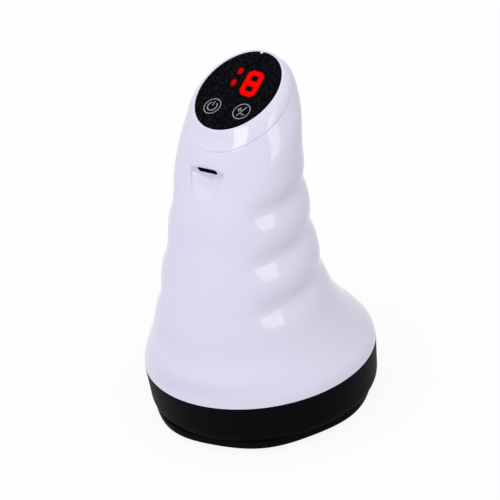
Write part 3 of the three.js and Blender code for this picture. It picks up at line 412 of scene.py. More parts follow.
# %% The cutter
SLOT_HALF = (5.0, 1.3)
SLOT_DROP = 2.15
CUT_HALF_LENGTH = 5
INLET_ORIGIN = np.array([
    0,
    front_y(SCOOP_TOP) + SLOT_DROP * math.sin(SCOOP_LEAN),
    SCOOP_TOP - SLOT_DROP * math.cos(SCOOP_LEAN),
])
INLET_TILT = math.pi / 2 + SCOOP_LEAN

def stadium(half_width, half_height, steps=16):
    """The outline of a slot with round ends."""
    turn = np.linspace(-math.pi / 2, math.pi / 2, steps)
    straight = half_width - half_height
    right = np.stack([straight + half_height * np.cos(turn), half_height * np.sin(turn)], -1)
    return np.concatenate([right, -right])

def at_level(outline, z):
    """A flat outline, lifted to a level."""
    return np.column_stack([outline, np.full(len(outline), z)])

def prism(outline, low, high):
    """Points and faces of a closed prism on an outline."""
    points = np.concatenate([at_level(outline, low), at_level(outline, high)])
    return points, capped_faces(2, len(outline))

cutter_points, cutter_faces = prism(stadium(*SLOT_HALF), -CUT_HALF_LENGTH, CUT_HALF_LENGTH)
cutter_mesh = bpy.data.meshes.new("slot_cutter")
cutter_mesh.from_pydata(
    (tipped(cutter_points, INLET_TILT, INLET_ORIGIN) * MM).tolist(), [], cutter_faces
)
cutter = bpy.data.objects.new("slot_cutter", cutter_mesh)
bpy.context.scene.collection.objects.link(cutter)
print("corners of the cutter:", len(cutter_points))

# %% Cut the slot
for shell in shells.values():
    cut = shell.modifiers.new("slot", "BOOLEAN")
    cut.operation = "DIFFERENCE"
    cut.object = cutter
    bpy.context.view_layer.update()
    shown = shell.evaluated_get(bpy.context.evaluated_depsgraph_get())
    cut_mesh = bpy.data.meshes.new_from_object(shown)
    shell.modifiers.clear()
    shell.data = cut_mesh
    print(shell.name, "after the cut:", len(cut_mesh.vertices), "points")
bpy.data.objects.remove(cutter)

# %% [markdown]
# ## The slot's black sleeve: painted shade
# A black sleeve lines the slot. It is painted shade: it makes the slot's inside black, where
# the real slot is dark from shadow. A dark material on the slot's own walls would look alike
# from far, but it has no edge of its own. So it is a band between two stadium outlines, with
# its front edge 0.2 mm behind the scoop's wall.

# %% The slot's black sleeve, painted shade
SHADE_LINER_WALL = 0.35
SHADE_LINER_PLAY = 0.03
SHADE_LINER_ENDS = (-0.2, -1.95)
SHADE_LINER_ROUND = 0.1
ROUNDED_OUTSIDE = 0.985
ROUNDED_INSIDE = 1.01

def sleeve(half, wall, ends):
    """Points and faces of a band of stadium shape, in the slot's own frame."""
    outside = stadium(*half)
    inside = stadium(half[0] - wall, half[1] - wall)
    near, far = ends
    levels = [
        (outside, far),
        (outside, near - SHADE_LINER_ROUND),
        (outside * ROUNDED_OUTSIDE, near),
        (inside * ROUNDED_INSIDE, near),
        (inside, near - SHADE_LINER_ROUND),
        (inside, far),
    ]
    points = np.array([at_level(edge, z) for edge, z in levels])
    return points, loop_faces(len(levels), len(outside))

shade_liner_points, shade_liner_faces = sleeve(
    (SLOT_HALF[0] - SHADE_LINER_PLAY, SLOT_HALF[1] - SHADE_LINER_PLAY), SHADE_LINER_WALL, SHADE_LINER_ENDS
)
shade_liner = add_piece(
    "painted_shade_slot_liner", tipped(shade_liner_points, INLET_TILT, INLET_ORIGIN), shade_liner_faces, "body",
    "black_base",
)

# %% [markdown]
# ## The crown
# The crown is the white top piece that carries the panel. Its skin goes on from the shells
# above a slanted hairline, turns over a soft shoulder, and ends in a narrow flat bezel. Inside
# the bezel lies the recess for the panel, with a small key at its upper edge that fits the
# panel's notch. It could be lathed and then sheared to the tilt, but the grip's own skin has to
# run on over the hairline. So its rows are drawn one by one, from the same ovals, and the
# outline of the recess is one oval with the key's arc let into it.

# %% Outlines of the panel and its recess
NOTCH_RADIUS = 0.8
OVAL_STEPS = 288
NOTCH_STEPS = 25

def crowded_oval(half, notch):
    """Angles that crowd together at the notch, so that its arc is smooth."""
    wide = math.asin(min(notch * 1.5 / half[0], 1))
    top = math.pi / 2
    fine = np.linspace(top - wide, top + wide, NOTCH_STEPS)
    coarse = OVAL_STEPS + 2 - NOTCH_STEPS
    rest = np.linspace(top + wide, top + 2 * math.pi - wide, coarse)[1:-1]
    return np.concatenate([fine, rest])

OVAL_ANGLES = crowded_oval(PANEL_HALF, NOTCH_RADIUS)

def panel_outline(grow, notch):
    """The panel's oval, grown by a margin, with its notch."""
    half = PANEL_HALF + grow
    oval = np.stack([half[0] * np.cos(OVAL_ANGLES), half[1] * np.sin(OVAL_ANGLES)], -1)
    if notch:
        across = np.abs(oval[:, 0])
        inside = (across < notch) & (oval[:, 1] > 0)
        dip = PANEL_HALF[1] - np.sqrt(np.maximum(notch**2 - oval[inside, 0] ** 2, 0))
        oval[inside, 1] = np.minimum(oval[inside, 1], dip)
    return oval

def in_crown(points):
    """Points drawn on the panel's face, carried to their place."""
    return tipped(points, PANEL_TILT, PANEL_CENTRE)

print("points round the panel:", len(OVAL_ANGLES))

# %% The crown's rows
PANEL_PLAY = 0.15
RECESS_DEPTH = 2.0
CROWN_FLOOR = 1.8
BEZEL_ROUND = 0.25
RECESS_ROUND = 0.2
WINDOW_INSET = 4.1
SHOULDER_SHARE = 0.45
LAST_RISE = 0.9965
crown_low = rise_under_panel(CROWN_DROP - HAIRLINE / 2)
crown_rises = np.concatenate([
    crown_low + lip_steps / BODY_HEIGHT,
    np.linspace(crown_low + 1.1 / BODY_HEIGHT, LAST_RISE, 12),
])
from_seam = (crown_rises - crown_low) * BODY_HEIGHT
crown_skin = grip_point(
    crown_rises[:, None], OVAL_ANGLES, lip_inset(from_seam, SEAM_LIP)[:, None]
)
rim = in_crown(at_level(panel_outline(BEZEL, 0), 0))
inner = panel_outline(PANEL_PLAY, NOTCH_RADIUS)
bezel = in_crown(at_level(panel_outline(PANEL_PLAY + BEZEL_ROUND, 0), 0))

def corner(start, bend, end, steps=5):
    """Rows that round the corner between three outlines."""
    t = np.linspace(0, 1, steps)[:, None, None]
    return (1 - t) ** 2 * start + 2 * t * (1 - t) * bend + t**2 * end

shoulder = corner(crown_skin[-1], rim, rim + (bezel - rim) * SHOULDER_SHARE)
edge_top = in_crown(at_level(inner, 0))
edge_low = in_crown(at_level(inner, -RECESS_ROUND))
inner_edge = corner(bezel, edge_top, edge_low, 4)
floor_edge = in_crown(at_level(inner, -RECESS_DEPTH))
opening = panel_outline(-WINDOW_INSET, 0)
window = in_crown(at_level(opening, -RECESS_DEPTH))
window_low = in_crown(at_level(opening, -RECESS_DEPTH - CROWN_FLOOR))
under_rises = np.array([crown_low, crown_low + 0.5 / BODY_HEIGHT])
underside = grip_point(under_rises[::-1, None], OVAL_ANGLES, WALL)

# %% The crown cap
crown_rows = np.concatenate([
    crown_skin,
    shoulder[1:],
    inner_edge,
    [floor_edge, window, window_low],
    underside,
])
crown_faces = loop_faces(len(crown_rows), len(OVAL_ANGLES))
crown = add_piece(
    "moulded_crown", crown_rows, crown_faces, "body", "white_shell", ["crown_cap"]
)

# %% [markdown]
# ## The touch panel
# The panel is a plate of black glass-like plastic, 1.7 mm thick, glued into its recess. An
# extruded outline with a Bevel modifier would do for a plain oval, but the notch makes the
# bevel fold. Rings of points from the middle outwards keep the face truly flat, and a small
# rounding at the edge catches a line of light.

# %% The touch panel
GLUE_GAP = 0.3
PANEL_ROUND = 0.25
RING_SHARES = (0.02, 0.35, 0.7, 0.9, 0.97)
outline = panel_outline(0, NOTCH_RADIUS + PANEL_PLAY)
rings = [at_level(outline * share, 0) for share in RING_SHARES]
inward = outline * (1 - PANEL_ROUND / np.hypot(*outline.T)[:, None])
rings.append(at_level(inward, 0))
for step in np.radians([22.5, 45, 67.5, 90]):
    share = math.sin(step)
    rings.append(at_level(
        inward + (outline - inward) * share, -PANEL_ROUND * (1 - math.cos(step))
    ))
rings.append(at_level(outline, GLUE_GAP - RECESS_DEPTH))
rings.append(at_level(outline * RING_SHARES[0], GLUE_GAP - RECESS_DEPTH))
panel_rows = in_crown(np.array(rings))
panel_faces = [face[::-1] for face in capped_faces(len(rings), len(outline))]
panel = add_piece(
    "glass_touch_panel", panel_rows, panel_faces, "body", "touch_panel", ["touch_panel"]
)

# %% [markdown]
# ## The lit digit and the printed keys
# A red seven-segment digit and two dots shine through the panel, with a faint red glow round
# them, and the marks of the two keys are printed on it in light grey. An image could carry
# them, but drawn strokes stay sharp from any distance. Each stroke is a flat ribbon along a
# path, a few hundredths of a millimetre thick, like a layer of ink.

# %% Ribbons on the panel
INK_LOW = -0.04
INK_HIGH = 0.015
SHARPEST_MITRE = 0.4

def ribbon(path, width, closed=False, high=INK_HIGH):
    """Points and faces of a flat stroke with mitred corners."""
    path = np.asarray(path, float)
    ahead = np.roll(path, -1, 0) - path
    behind = path - np.roll(path, 1, 0)
    if not closed:
        ahead[-1], behind[0] = behind[-1], ahead[0]
    ahead /= np.hypot(*ahead.T)[:, None]
    behind /= np.hypot(*behind.T)[:, None]
    normal = np.stack([-(ahead + behind)[:, 1], (ahead + behind)[:, 0]], -1)
    normal /= np.hypot(*normal.T)[:, None]
    sideways = np.stack([-ahead[:, 1], ahead[:, 0]], -1)
    mitre = 1 / np.maximum((normal * sideways).sum(1), SHARPEST_MITRE)
    reach = normal * (mitre * width / 2)[:, None]
    right, left = path - reach, path + reach
    corners = [(right, INK_LOW), (left, INK_LOW), (left, high), (right, high)]
    points = np.stack([at_level(edge, z) for edge, z in corners], 1).reshape(-1, 3)
    count = len(path)
    faces = []
    for i in range(count if closed else count - 1):
        here, there = 4 * i, 4 * ((i + 1) % count)
        for side in range(4):
            after = (side + 1) % 4
            faces.append([here + side, here + after, there + after, there + side])
    if not closed:
        faces += [[3, 2, 1, 0], [4 * count - 4 + k for k in range(4)]]
    return points, faces

def arc(centre, radius, start, end, steps=48):
    """Points on part of a circle, from one angle in degrees to another."""
    angle = np.radians(np.linspace(start, end, steps))
    return np.stack([centre[0] + radius * np.cos(angle), centre[1] + radius * np.sin(angle)], -1)

def add_marks(name, strokes, slot=None):
    """One piece of all its strokes, laid on the panel's face."""
    points, faces = [], []
    for stroke_points, stroke_faces in strokes:
        first = sum(len(p) for p in points)
        points.append(stroke_points)
        faces += [[first + i for i in face] for face in stroke_faces]
    return add_piece(name, in_crown(np.concatenate(points)), faces, "body", slot)

# %% Segments of the display
DIGIT_SLANT = (-0.06, -0.13)

def slanted(strokes, centre):
    """Strokes drawn about a centre, slanted as the display's segments are."""
    placed = []
    for points, faces in strokes:
        x, y, z = points.T
        leaning = np.stack([x + DIGIT_SLANT[0] * y, y + DIGIT_SLANT[1] * x, z], -1)
        placed.append((leaning + (*centre, 0), faces))
    return placed

def chamfered(half, chamfer):
    """A rectangle's path with its corners cut off."""
    x, y = half
    short_x, short_y = x - chamfer, y - chamfer
    upper = [(x, short_y), (short_x, y), (-short_x, y), (-x, short_y)]
    lower = [(-x, -short_y), (-short_x, -y), (short_x, -y), (x, -short_y)]
    return np.array(upper + lower)

# %% The digit and the dots
DIGIT_CENTRE = (4.62, 4.1)
DIGIT_HALF = np.array([4.2, 6.35])
STROKE = 2.45
MIDDLE_STROKE = 2.8
CHAMFER = 1.1
DOT_CENTRES = ((-4.15, 9.3), (-4.05, 3.2))
DOT_HALF = np.array([1.35, 1.7])
DOT_STEPS = 32
DIGIT_TRIM = -0.15
DOT_TRIM = -0.3
GLOW_MARGIN = 0.2
GLOW_LEVEL = 0.006
path_half = DIGIT_HALF - STROKE / 2
bar_end = path_half[0] - STROKE / 2

def digit_at(grow, high):
    """The digit's strokes, wider by a margin on each side."""
    strokes = [
        ribbon(chamfered(path_half, CHAMFER), STROKE + 2 * grow, True, high),
        ribbon([[-bar_end, 0], [bar_end, 0]], MIDDLE_STROKE + 2 * grow, False, high),
    ]
    return slanted(strokes, DIGIT_CENTRE)

def dots_at(grow, high):
    """The two dots, larger by a margin."""
    turn = np.linspace(0, 2 * math.pi, DOT_STEPS, endpoint=False)
    half = DOT_HALF + grow
    outline = np.stack([half[0] * np.cos(turn), half[1] * np.sin(turn)], -1)
    dot = prism(outline, INK_LOW, high)
    return [slanted([dot], centre)[0] for centre in DOT_CENTRES]

digit = add_marks("lit_digit", digit_at(DIGIT_TRIM, INK_HIGH), "display_red")
dots = add_marks("lit_dots", dots_at(DOT_TRIM, INK_HIGH), "display_red")
halo = digit_at(GLOW_MARGIN, GLOW_LEVEL) + dots_at(GLOW_MARGIN, GLOW_LEVEL)
glow = add_marks("lit_glow", halo, "display_red")
print("height of the digit, mm:", 2 * (DIGIT_HALF[1] + DIGIT_TRIM))

# %% The key marks
POWER_CENTRE = (-7.0, -9.83)
LEVEL_CENTRE = (7.85, -9.83)
KEY_RADIUS = 3.73
RING_STROKE = 0.34
POWER_RADIUS = 2.15
MARK_STROKE = 0.4

def key_ring(centre):
    """The thin circle round a key."""
    return ribbon(arc(centre, KEY_RADIUS, 0, 360, 97)[:-1], RING_STROKE, closed=True)

def line(centre, start, end):
    """A straight stroke whose ends are given from a key's centre."""
    return ribbon(np.array(centre) + [start, end], MARK_STROKE)

power_mark = add_marks(
    "power_key_mark",
    [
        key_ring(POWER_CENTRE),
        ribbon(arc(POWER_CENTRE, POWER_RADIUS, 122, 412), MARK_STROKE),
        line(POWER_CENTRE, (-0.05, 0.3), (-0.05, 2.5)),
    ],
)
level_mark = add_marks(
    "level_key_mark",
    [
        key_ring(LEVEL_CENTRE),
        line(LEVEL_CENTRE, (-1.05, -2.5), (1.25, 2.5)),
        line(LEVEL_CENTRE, (-2.3, 0.8), (-0.3, 0.55)),
        line(LEVEL_CENTRE, (-1.4, -0.35), (-1.2, 1.75)),
        line(LEVEL_CENTRE, (0.2, -1.15), (2.1, -1.4)),
    ],
)

# %% [markdown]
# ## The black skirt ring
# The ring is a round moulding with a shelf inside for the base plate. A Screw modifier could
# sweep its profile round, but then it has to be applied before the piece rides on the frame. A
# net does the same at once. The top edge is broken by a hair's breadth against the white shells,
# the wall tapers a little, and the lower edge is rounded as a quarter of an upright oval.

# %% Turning a profile
RING_STEPS = 288

def quarter(centre, radii, start, steps=7):
    """A quarter of a round or oval edge, in the profile's plane."""
    angle = np.radians(np.linspace(start, start + 90, steps))
    across, up = radii
    return [(centre[0] + across * math.cos(a), centre[1] + up * math.sin(a)) for a in angle]

def turned(profile, steps=RING_STEPS):
    """Points and faces of a closed profile swept round the upright axis."""
    radius, height = np.array(profile, float).T
    angle = np.linspace(0, 2 * math.pi, steps, endpoint=False)
    points = np.stack([
        radius[:, None] * np.cos(angle),
        radius[:, None] * np.sin(angle),
        np.broadcast_to(height[:, None], (len(height), steps)),
    ], -1)
    return points, loop_faces(len(profile), steps)

# %% The skirt ring
SKIRT_OUTER = 49.35
SKIRT_INNER = 46.65
SKIRT_BOTTOM = 6.5
SKIRT_ROUND = (1.0, 3.8)
INNER_ROUND = 0.4
TOP_ROUND = 0.3
SHELF_INNER = 43.55
SHELF_LEVELS = (17.5, 20.3)
inner_corner = (SKIRT_INNER + INNER_ROUND, SKIRT_BOTTOM + INNER_ROUND)
outer_corner = (SKIRT_OUTER - SKIRT_ROUND[0], SKIRT_BOTTOM + SKIRT_ROUND[1])
top_corner = (SEAM_RADIUS - TOP_ROUND, SEAM_HEIGHT - TOP_ROUND)
ring_profile = [
    *quarter(inner_corner, (INNER_ROUND, INNER_ROUND), 180, 4),
    *quarter(outer_corner, SKIRT_ROUND, 270, 12),
    (SEAM_RADIUS - 0.03, SEAM_HEIGHT - 1.0),
    *quarter(top_corner, (TOP_ROUND, TOP_ROUND), 0, 5),
    (SEAM_RADIUS - 1.2, SEAM_HEIGHT),
    (SKIRT_INNER, SEAM_HEIGHT),
    (SKIRT_INNER, SHELF_LEVELS[1]),
    (SHELF_INNER, SHELF_LEVELS[1]),
    (SHELF_INNER, SHELF_LEVELS[0]),
    (SKIRT_INNER, SHELF_LEVELS[0]),
]
ring = add_piece(
    "satin_skirt_ring", *turned(ring_profile), "body", "black_base", ["skirt_ring"]
)

# %% [markdown]
# ## The massage head
# The head is one black moulding with seven lobes on its rim and rounded kneading nodes under
# it: seven in a circle and a larger one in the middle. The nodes could be separate domes that
# are joined by Booleans, but where they meet the plate a moulding has no edge. So the underside
# is a height field: every point of a round net is pushed down by the node that covers it. The
# rim follows the lobes and has a soft lower edge. Above the rim a plug reaches up into the
# ring, with a pocket for the drive. The head stands 1.25 mm in front of the middle, because it
# circles on a crank pin.

# %% Rows of the head
HEAD_RIM = 47.85
LOBES = 7
LOBE_DEPTH = 0.55
LOBE_TURN = math.radians(-1)
HEAD_STEPS = 252
head_angles = LOBE_TURN + np.linspace(0, 2 * math.pi, HEAD_STEPS, endpoint=False)

def head_row(radius, height, lobed=1.0, inset=0.0):
    """A ring of points; it carries the lobes as far as it is lobed, 0 for not at all."""
    edge = radius - inset + lobed * LOBE_DEPTH * np.cos(LOBES * (head_angles - LOBE_TURN))
    x, y = edge * np.cos(head_angles), edge * np.sin(head_angles)
    z = height(x, y) if callable(height) else np.full_like(x, height)
    return np.stack([x, y, z], -1)

# %% The kneading nodes
NODE_HEIGHT = 2.6
NODE_CIRCLE = 32.5
SMALL_NODE = (7.4, 1.6)
LARGE_NODE = (11.0, 3.0)
node_angles = LOBE_TURN + np.arange(LOBES) * 2 * math.pi / LOBES
nodes = [(NODE_CIRCLE * math.cos(a), NODE_CIRCLE * math.sin(a), *SMALL_NODE) for a in node_angles]
nodes.append((0, 0, *LARGE_NODE))

def kneading_height(x, y):
    """The underside's height: the nodes' crests touch the surface."""
    push = np.zeros_like(x)
    for node_x, node_y, radius, crest in nodes:
        share = np.clip((np.hypot(x - node_x, y - node_y) - crest) / (radius - crest), 0, 1)
        push = np.maximum(push, 0.5 + 0.5 * np.cos(math.pi * share))
    return NODE_HEIGHT * (1 - push)

print("kneading nodes:", len(nodes))

# %% The massage head
HEAD_CENTRE = (0, -1.25)
MIDDLE_RADIUS = 0.4
NODE_FIELD = 44.0
FIELD_STEP = 0.55
EDGE_ROUND = 1.3
RIM_TOP = 6.3
PLUG_TOP = 9.1
PLUG_RADIUS = 40.8
POCKET_RADIUS = 15.4
POCKET_FLOOR = 5.3
field = np.arange(MIDDLE_RADIUS, NODE_FIELD, FIELD_STEP)
rows = [head_row(radius, kneading_height, 0) for radius in field]
rows.append(head_row(HEAD_RIM, NODE_HEIGHT, 0.8, 2.2))
rows.append(head_row(HEAD_RIM, NODE_HEIGHT, 1, EDGE_ROUND))
for step in np.radians(np.linspace(15, 90, 6)):
    rows.append(head_row(
        HEAD_RIM,
        NODE_HEIGHT + EDGE_ROUND * (1 - math.cos(step)),
        1,
        EDGE_ROUND * (1 - math.sin(step)),
    ))
for edge in (
    (HEAD_RIM, RIM_TOP - 0.5),
    (HEAD_RIM, RIM_TOP - 0.15, 1, 0.12),
    (HEAD_RIM, RIM_TOP, 1, 0.5),
    (PLUG_RADIUS, RIM_TOP, 0),
    (PLUG_RADIUS, PLUG_TOP - 0.4, 0),
    (PLUG_RADIUS, PLUG_TOP, 0, 0.4),
    (POCKET_RADIUS, PLUG_TOP, 0),
    (POCKET_RADIUS, POCKET_FLOOR, 0),
    (MIDDLE_RADIUS, POCKET_FLOOR, 0),
):
    rows.append(head_row(*edge))
head_points = np.array(rows) + (*HEAD_CENTRE, 0)
head = add_piece(
    "lobed_massage_head", head_points, capped_faces(len(rows), HEAD_STEPS), "head",
    "black_base", ["massage_head"],
)

# %% [markdown]
# ## Writing finishes
# A finish is a small network of nodes that works out colour, roughness and bumps at every
# point. It could be wired by hand in the shader editor, but a script has to name each node and
# link. Two helpers keep that readable. A Signal wraps one output of a node, and arithmetic on
# it adds Math nodes. A Finish holds the network and makes any node from its type, its settings
# and the values of its sockets. All textures use the object's own coordinates in metres, so a
# size in millimetres can be written down and stays true on every piece.

# %% Signals
class Signal:
    """One output of a shader node, on which ordinary arithmetic works."""

    def __init__(self, finish, socket):
        self.finish = finish
        self.socket = socket

    def maths(self, operation, *values):
        return self.finish.node("ShaderNodeMath", {"operation": operation}, values)

    def __add__(self, other):
        return self.maths("ADD", self, other)

    def __radd__(self, other):
        return self.maths("ADD", other, self)

    def __mul__(self, other):
        return self.maths("MULTIPLY", self, other)

    def __rmul__(self, other):
        return self.maths("MULTIPLY", other, self)

    def __gt__(self, other):
        return self.maths("GREATER_THAN", self, other)

    def larger(self, other):
        return self.maths("MAXIMUM", self, other)

# %% Finishes
class Finish:
    """A network of nodes, with a method that makes any node."""

    def __init__(self, name, owner=None):
        self.owner = owner or bpy.data.materials.new(name)
        self.owner.use_nodes = True
        self.tree = self.owner.node_tree
        self.tree.nodes.clear()

    def node(self, kind, settings=None, inputs=(), out=0):
        """Makes a node: settings first, then values or signals by place or by name."""
        made = self.tree.nodes.new(kind)
        for name, value in (settings or {}).items():
            setattr(made, name, value)
        pairs = inputs.items() if isinstance(inputs, dict) else enumerate(inputs)
        for key, value in pairs:
            if isinstance(value, Signal):
                self.tree.links.new(value.socket, made.inputs[key])
            else:
                made.inputs[key].default_value = value
        return Signal(self, made.outputs[out]) if len(made.outputs) else None

    def place(self):
        """Where a point lies on the piece, in metres."""
        return self.node("ShaderNodeTexCoord", out="Object")

    def cloud(self, size, detail=2.0, roughness=0.5):
        """Soft noise from 0 to 1 whose features are about the size in millimetres."""
        inputs = {
            "Vector": self.place(),
            "Scale": 1 / (size * MM),
            "Detail": detail,
            "Roughness": roughness,
        }
        return self.node("ShaderNodeTexNoise", None, inputs, "Fac")

    def blend(self, share, first, second):
        """A colour between two colours."""
        colours = [c if isinstance(c, Signal) else (*c, 1) for c in (first, second)]
        inputs = {0: share, 6: colours[0], 7: colours[1]}
        return self.node("ShaderNodeMix", {"data_type": "RGBA"}, inputs, 2)

    def bump(self, height, depth, strength=1.0):
        """A bump whose height of 1 is the depth in millimetres."""
        inputs = {"Strength": strength, "Distance": depth * MM, "Height": height}
        return self.node("ShaderNodeBump", None, inputs, "Normal")

    def surface(self, **inputs):
        """Ends the network in the main shader; names use _ for a space."""
        named = {key.replace("_", " "): value for key, value in inputs.items()}
        shader = self.node("ShaderNodeBsdfPrincipled", None, named)
        self.node("ShaderNodeOutputMaterial", None, {"Surface": shader})
        return self.owner

# %% [markdown]
# ## Glossy white and satin black
# The shells are injection-moulded, polished and faintly lavender. One plain colour with a low
# roughness would look like a drawing, because the polish is never perfect: the gloss drifts
# over centimetres, and a very shallow waviness, finer than a fingertip, bends the reflections.
# The black mouldings come from a spark-eroded tool, which leaves a fine grain that scatters the
# light. So each gets clouds of its own size for colour, roughness and bump.

# %% The two mouldings
LAVENDER = ((0.735, 0.726, 0.862), (0.765, 0.756, 0.89))
COAL = ((0.0024, 0.0024, 0.0034), (0.0036, 0.0037, 0.0048))

def gloss_white():
    finish = Finish("gloss_white_moulding")
    drift = finish.cloud(34, 2)
    flow = finish.cloud(7, 3)
    wave = finish.cloud(5.5, 1)
    return finish.surface(
        Base_Color=finish.blend(drift, *LAVENDER),
        Roughness=0.035 + 0.04 * flow,
        Normal=finish.bump(wave, 0.005, 0.6),
        Specular_IOR_Level=0.35,
    )

def satin_black():
    finish = Finish("satin_black_moulding")
    grain = finish.cloud(0.35, 3, 0.6)
    drift = finish.cloud(22, 2)
    return finish.surface(
        Base_Color=finish.blend(drift, *COAL),
        Roughness=0.4 + 0.16 * grain,
        Normal=finish.bump(grain, 0.015, 0.5),
        Specular_IOR_Level=0.02,
    )

# %% [markdown]
# ## Speckled panel, red light and grey ink
# The panel's black is full of fine specks, like a sparkling lacquer. White noise would do from
# far, but real specks are small chips of about a quarter of a millimetre that gather in
# clusters. So cells of that size are lit at random, and a cloud decides where more of them
# show. The lit digit is an even red light behind the panel, so it is made by emission at the
# level of the colour. Its surface has hardly any colour and no gloss of its own, which could
# wash it out. The ink is a dull grey with a fine grain.

# %% The panel, the light and the ink
SPECK_SIZE = 0.24
CLUSTER_SIZE = 1.0
SPECK_LIMIT = 0.46
PANEL_BLACK = (0.0009, 0.0009, 0.0018)
SPECK_SHADOW = (0.002, 0.002, 0.003)
SPECK_SILVER = (0.42, 0.46, 0.55)
INK_GREY = ((0.28, 0.28, 0.3), (0.38, 0.38, 0.4))

def speckled_glass():
    finish = Finish("speckled_black_panel")
    cell = {"Vector": finish.place(), "Scale": 1 / (SPECK_SIZE * MM)}
    tint = finish.node("ShaderNodeTexVoronoi", None, cell, "Color")
    chance = finish.node("ShaderNodeSeparateColor", None, [tint])
    lit = chance * finish.cloud(CLUSTER_SIZE, 3) > SPECK_LIMIT
    speck = finish.blend(0.8, tint, SPECK_SILVER)
    dim = finish.blend(0.945, speck, SPECK_SHADOW)
    return finish.surface(
        Base_Color=finish.blend(lit * 0.8, PANEL_BLACK, dim),
        Roughness=0.08 + 0.06 * finish.cloud(6, 2),
        Specular_IOR_Level=0.012,
    )

def lit_red(name, level):
    finish = Finish(name)
    unevenness = finish.cloud(1.1, 1)
    return finish.surface(
        Base_Color=(0.02, 0.0, 0.0, 1),
        Roughness=0.3,
        Emission_Color=finish.blend(unevenness, (level, 0.0, 0.0), (level, 0.004, 0.003)),
        Emission_Strength=1.0,
        Specular_IOR_Level=0.0,
    )

def printed_grey():
    finish = Finish("printed_grey_ink")
    grain = finish.cloud(0.2, 2)
    return finish.surface(
        Base_Color=finish.blend(grain, *INK_GREY), Roughness=0.4 + 0.2 * grain
    )

# %% Dress the outer pieces
def dress(material, *pieces):
    """Gives pieces one finish, whatever slots their meshes came with."""
    for piece in pieces:
        piece.data.materials.clear()
        piece.data.materials.append(material)
        print(piece.name, "in", material.name)

white = gloss_white()
black = satin_black()
dress(white, *shells.values(), crown)
# The black sleeve in the slot is painted shade, dressed in the same black as the ring.
dress(black, ring, head, shade_liner)
dress(speckled_glass(), panel)
dress(lit_red("lit_red_digit", 1.0), digit)
dress(lit_red("lit_red_dots", 0.68), dots)
dress(lit_red("lit_red_glow", 0.22), glow)
dress(printed_grey(), power_mark, level_mark)

# %% [markdown]
# ## Finishes of the pieces inside
# The motor, the crank drive, the cells and the boards are closed in, but the part can be taken
# apart, so each gets the finish of its real material: steel with fine lines, frame plastic,
# green boards, shrink-wrapped cells. Each could have a network of its own. Two
# kinds cover them all, one for plastics and one for metals, and a list gives each slot of the
# record its colours and its gloss. The charging socket alone gets steel painted nearly black,
# as painted shade for the dark inside of the slot.

# %% Plastics and metals
def moulded(name, dark, light, roughness, size=1.2, depth=0.02):
    """A plastic, rubber or film with a grain of a size in millimetres."""
    finish = Finish(name)
    grain = finish.cloud(size, 3)
    return finish.surface(
        Base_Color=finish.blend(finish.cloud(8), dark, light),
        Roughness=roughness + 0.12 * grain,
        Normal=finish.bump(grain, depth, 0.5),
    )

LINE_SIZE = 2.5
LINE_STRETCH = (1, 1, 14)

def metal(name, dark, light, roughness):
    """A metal with fine lines round its upright axis, as turning leaves them."""
    finish = Finish(name)
    stretch = {"Vector": finish.place(), "Scale": LINE_STRETCH}
    inputs = {
        "Vector": finish.node("ShaderNodeMapping", None, stretch),
        "Scale": 1 / (LINE_SIZE * MM),
        "Detail": 3.0,
    }
    lines = finish.node("ShaderNodeTexNoise", None, inputs, "Fac")
    return finish.surface(
        Base_Color=finish.blend(lines, dark, light),
        Metallic=1.0,
        Roughness=roughness + 0.15 * lines,
        Normal=finish.bump(lines, 0.004, 0.4),
    )

# %% Finishes for the inner pieces
INNER_FINISHES = {
    "display_red": moulded("display_module", (0.02, 0.02, 0.02), (0.03, 0.03, 0.03), 0.5),
    "frame_plastic": moulded("frame_plastic", (0.16, 0.165, 0.17), (0.2, 0.205, 0.21), 0.5),
    "sleeve_rubber": moulded("sleeve_rubber", (0.015, 0.015, 0.015), (0.03, 0.03, 0.03), 0.75),
    "circuit_board": moulded("board_green", (0.01, 0.09, 0.03), (0.02, 0.14, 0.05), 0.35, 0.5),
    "touch_pad": moulded("pad_foil", (0.3, 0.3, 0.3), (0.42, 0.42, 0.42), 0.4),
    "cell_can": moulded("cell_wrap", (0.02, 0.09, 0.34), (0.03, 0.12, 0.4), 0.3, 3.0),
    "bright_steel": metal("bright_steel", (0.5, 0.51, 0.53), (0.66, 0.67, 0.69), 0.22),
    "dark_steel": metal("dark_steel", (0.14, 0.145, 0.15), (0.22, 0.225, 0.23), 0.34),
    "magnet_iron": moulded("magnet_iron", (0.05, 0.052, 0.056), (0.09, 0.092, 0.1), 0.65, 0.4),
    "armature_copper": metal("armature_copper", (0.4, 0.15, 0.05), (0.58, 0.25, 0.1), 0.32),
    "motor_cap_plastic": moulded("motor_cap", (0.01, 0.01, 0.011), (0.02, 0.02, 0.022), 0.5),
    "lead_red": moulded("lead_red", (0.4, 0.008, 0.008), (0.52, 0.015, 0.012), 0.5),
    "lead_black": moulded("lead_black", (0.008, 0.008, 0.009), (0.018, 0.018, 0.02), 0.5),
    "ribbon_film": moulded("ribbon_film", (0.38, 0.19, 0.05), (0.5, 0.27, 0.09), 0.35, 2.0),
    "white_shell": white,
    "black_base": black,
    "touch_panel": panel.data.materials[0],
}

# %% Dress the inner pieces
for subpart in frame["record"]["subparts"]:
    for place in frame["nodes"][subpart["node"]].material_slots:
        place.material = INNER_FINISHES[subpart["material_slot"]]
# Painted shade: the socket's steel is made nearly black, so the slot looks dark inside.
socket_steel_painted_shade = metal("socket_steel_painted_shade", (0.03, 0.03, 0.033), (0.06, 0.06, 0.065), 0.5)
for place in frame["nodes"]["charge_socket"].material_slots:
    place.material = socket_steel_painted_shade

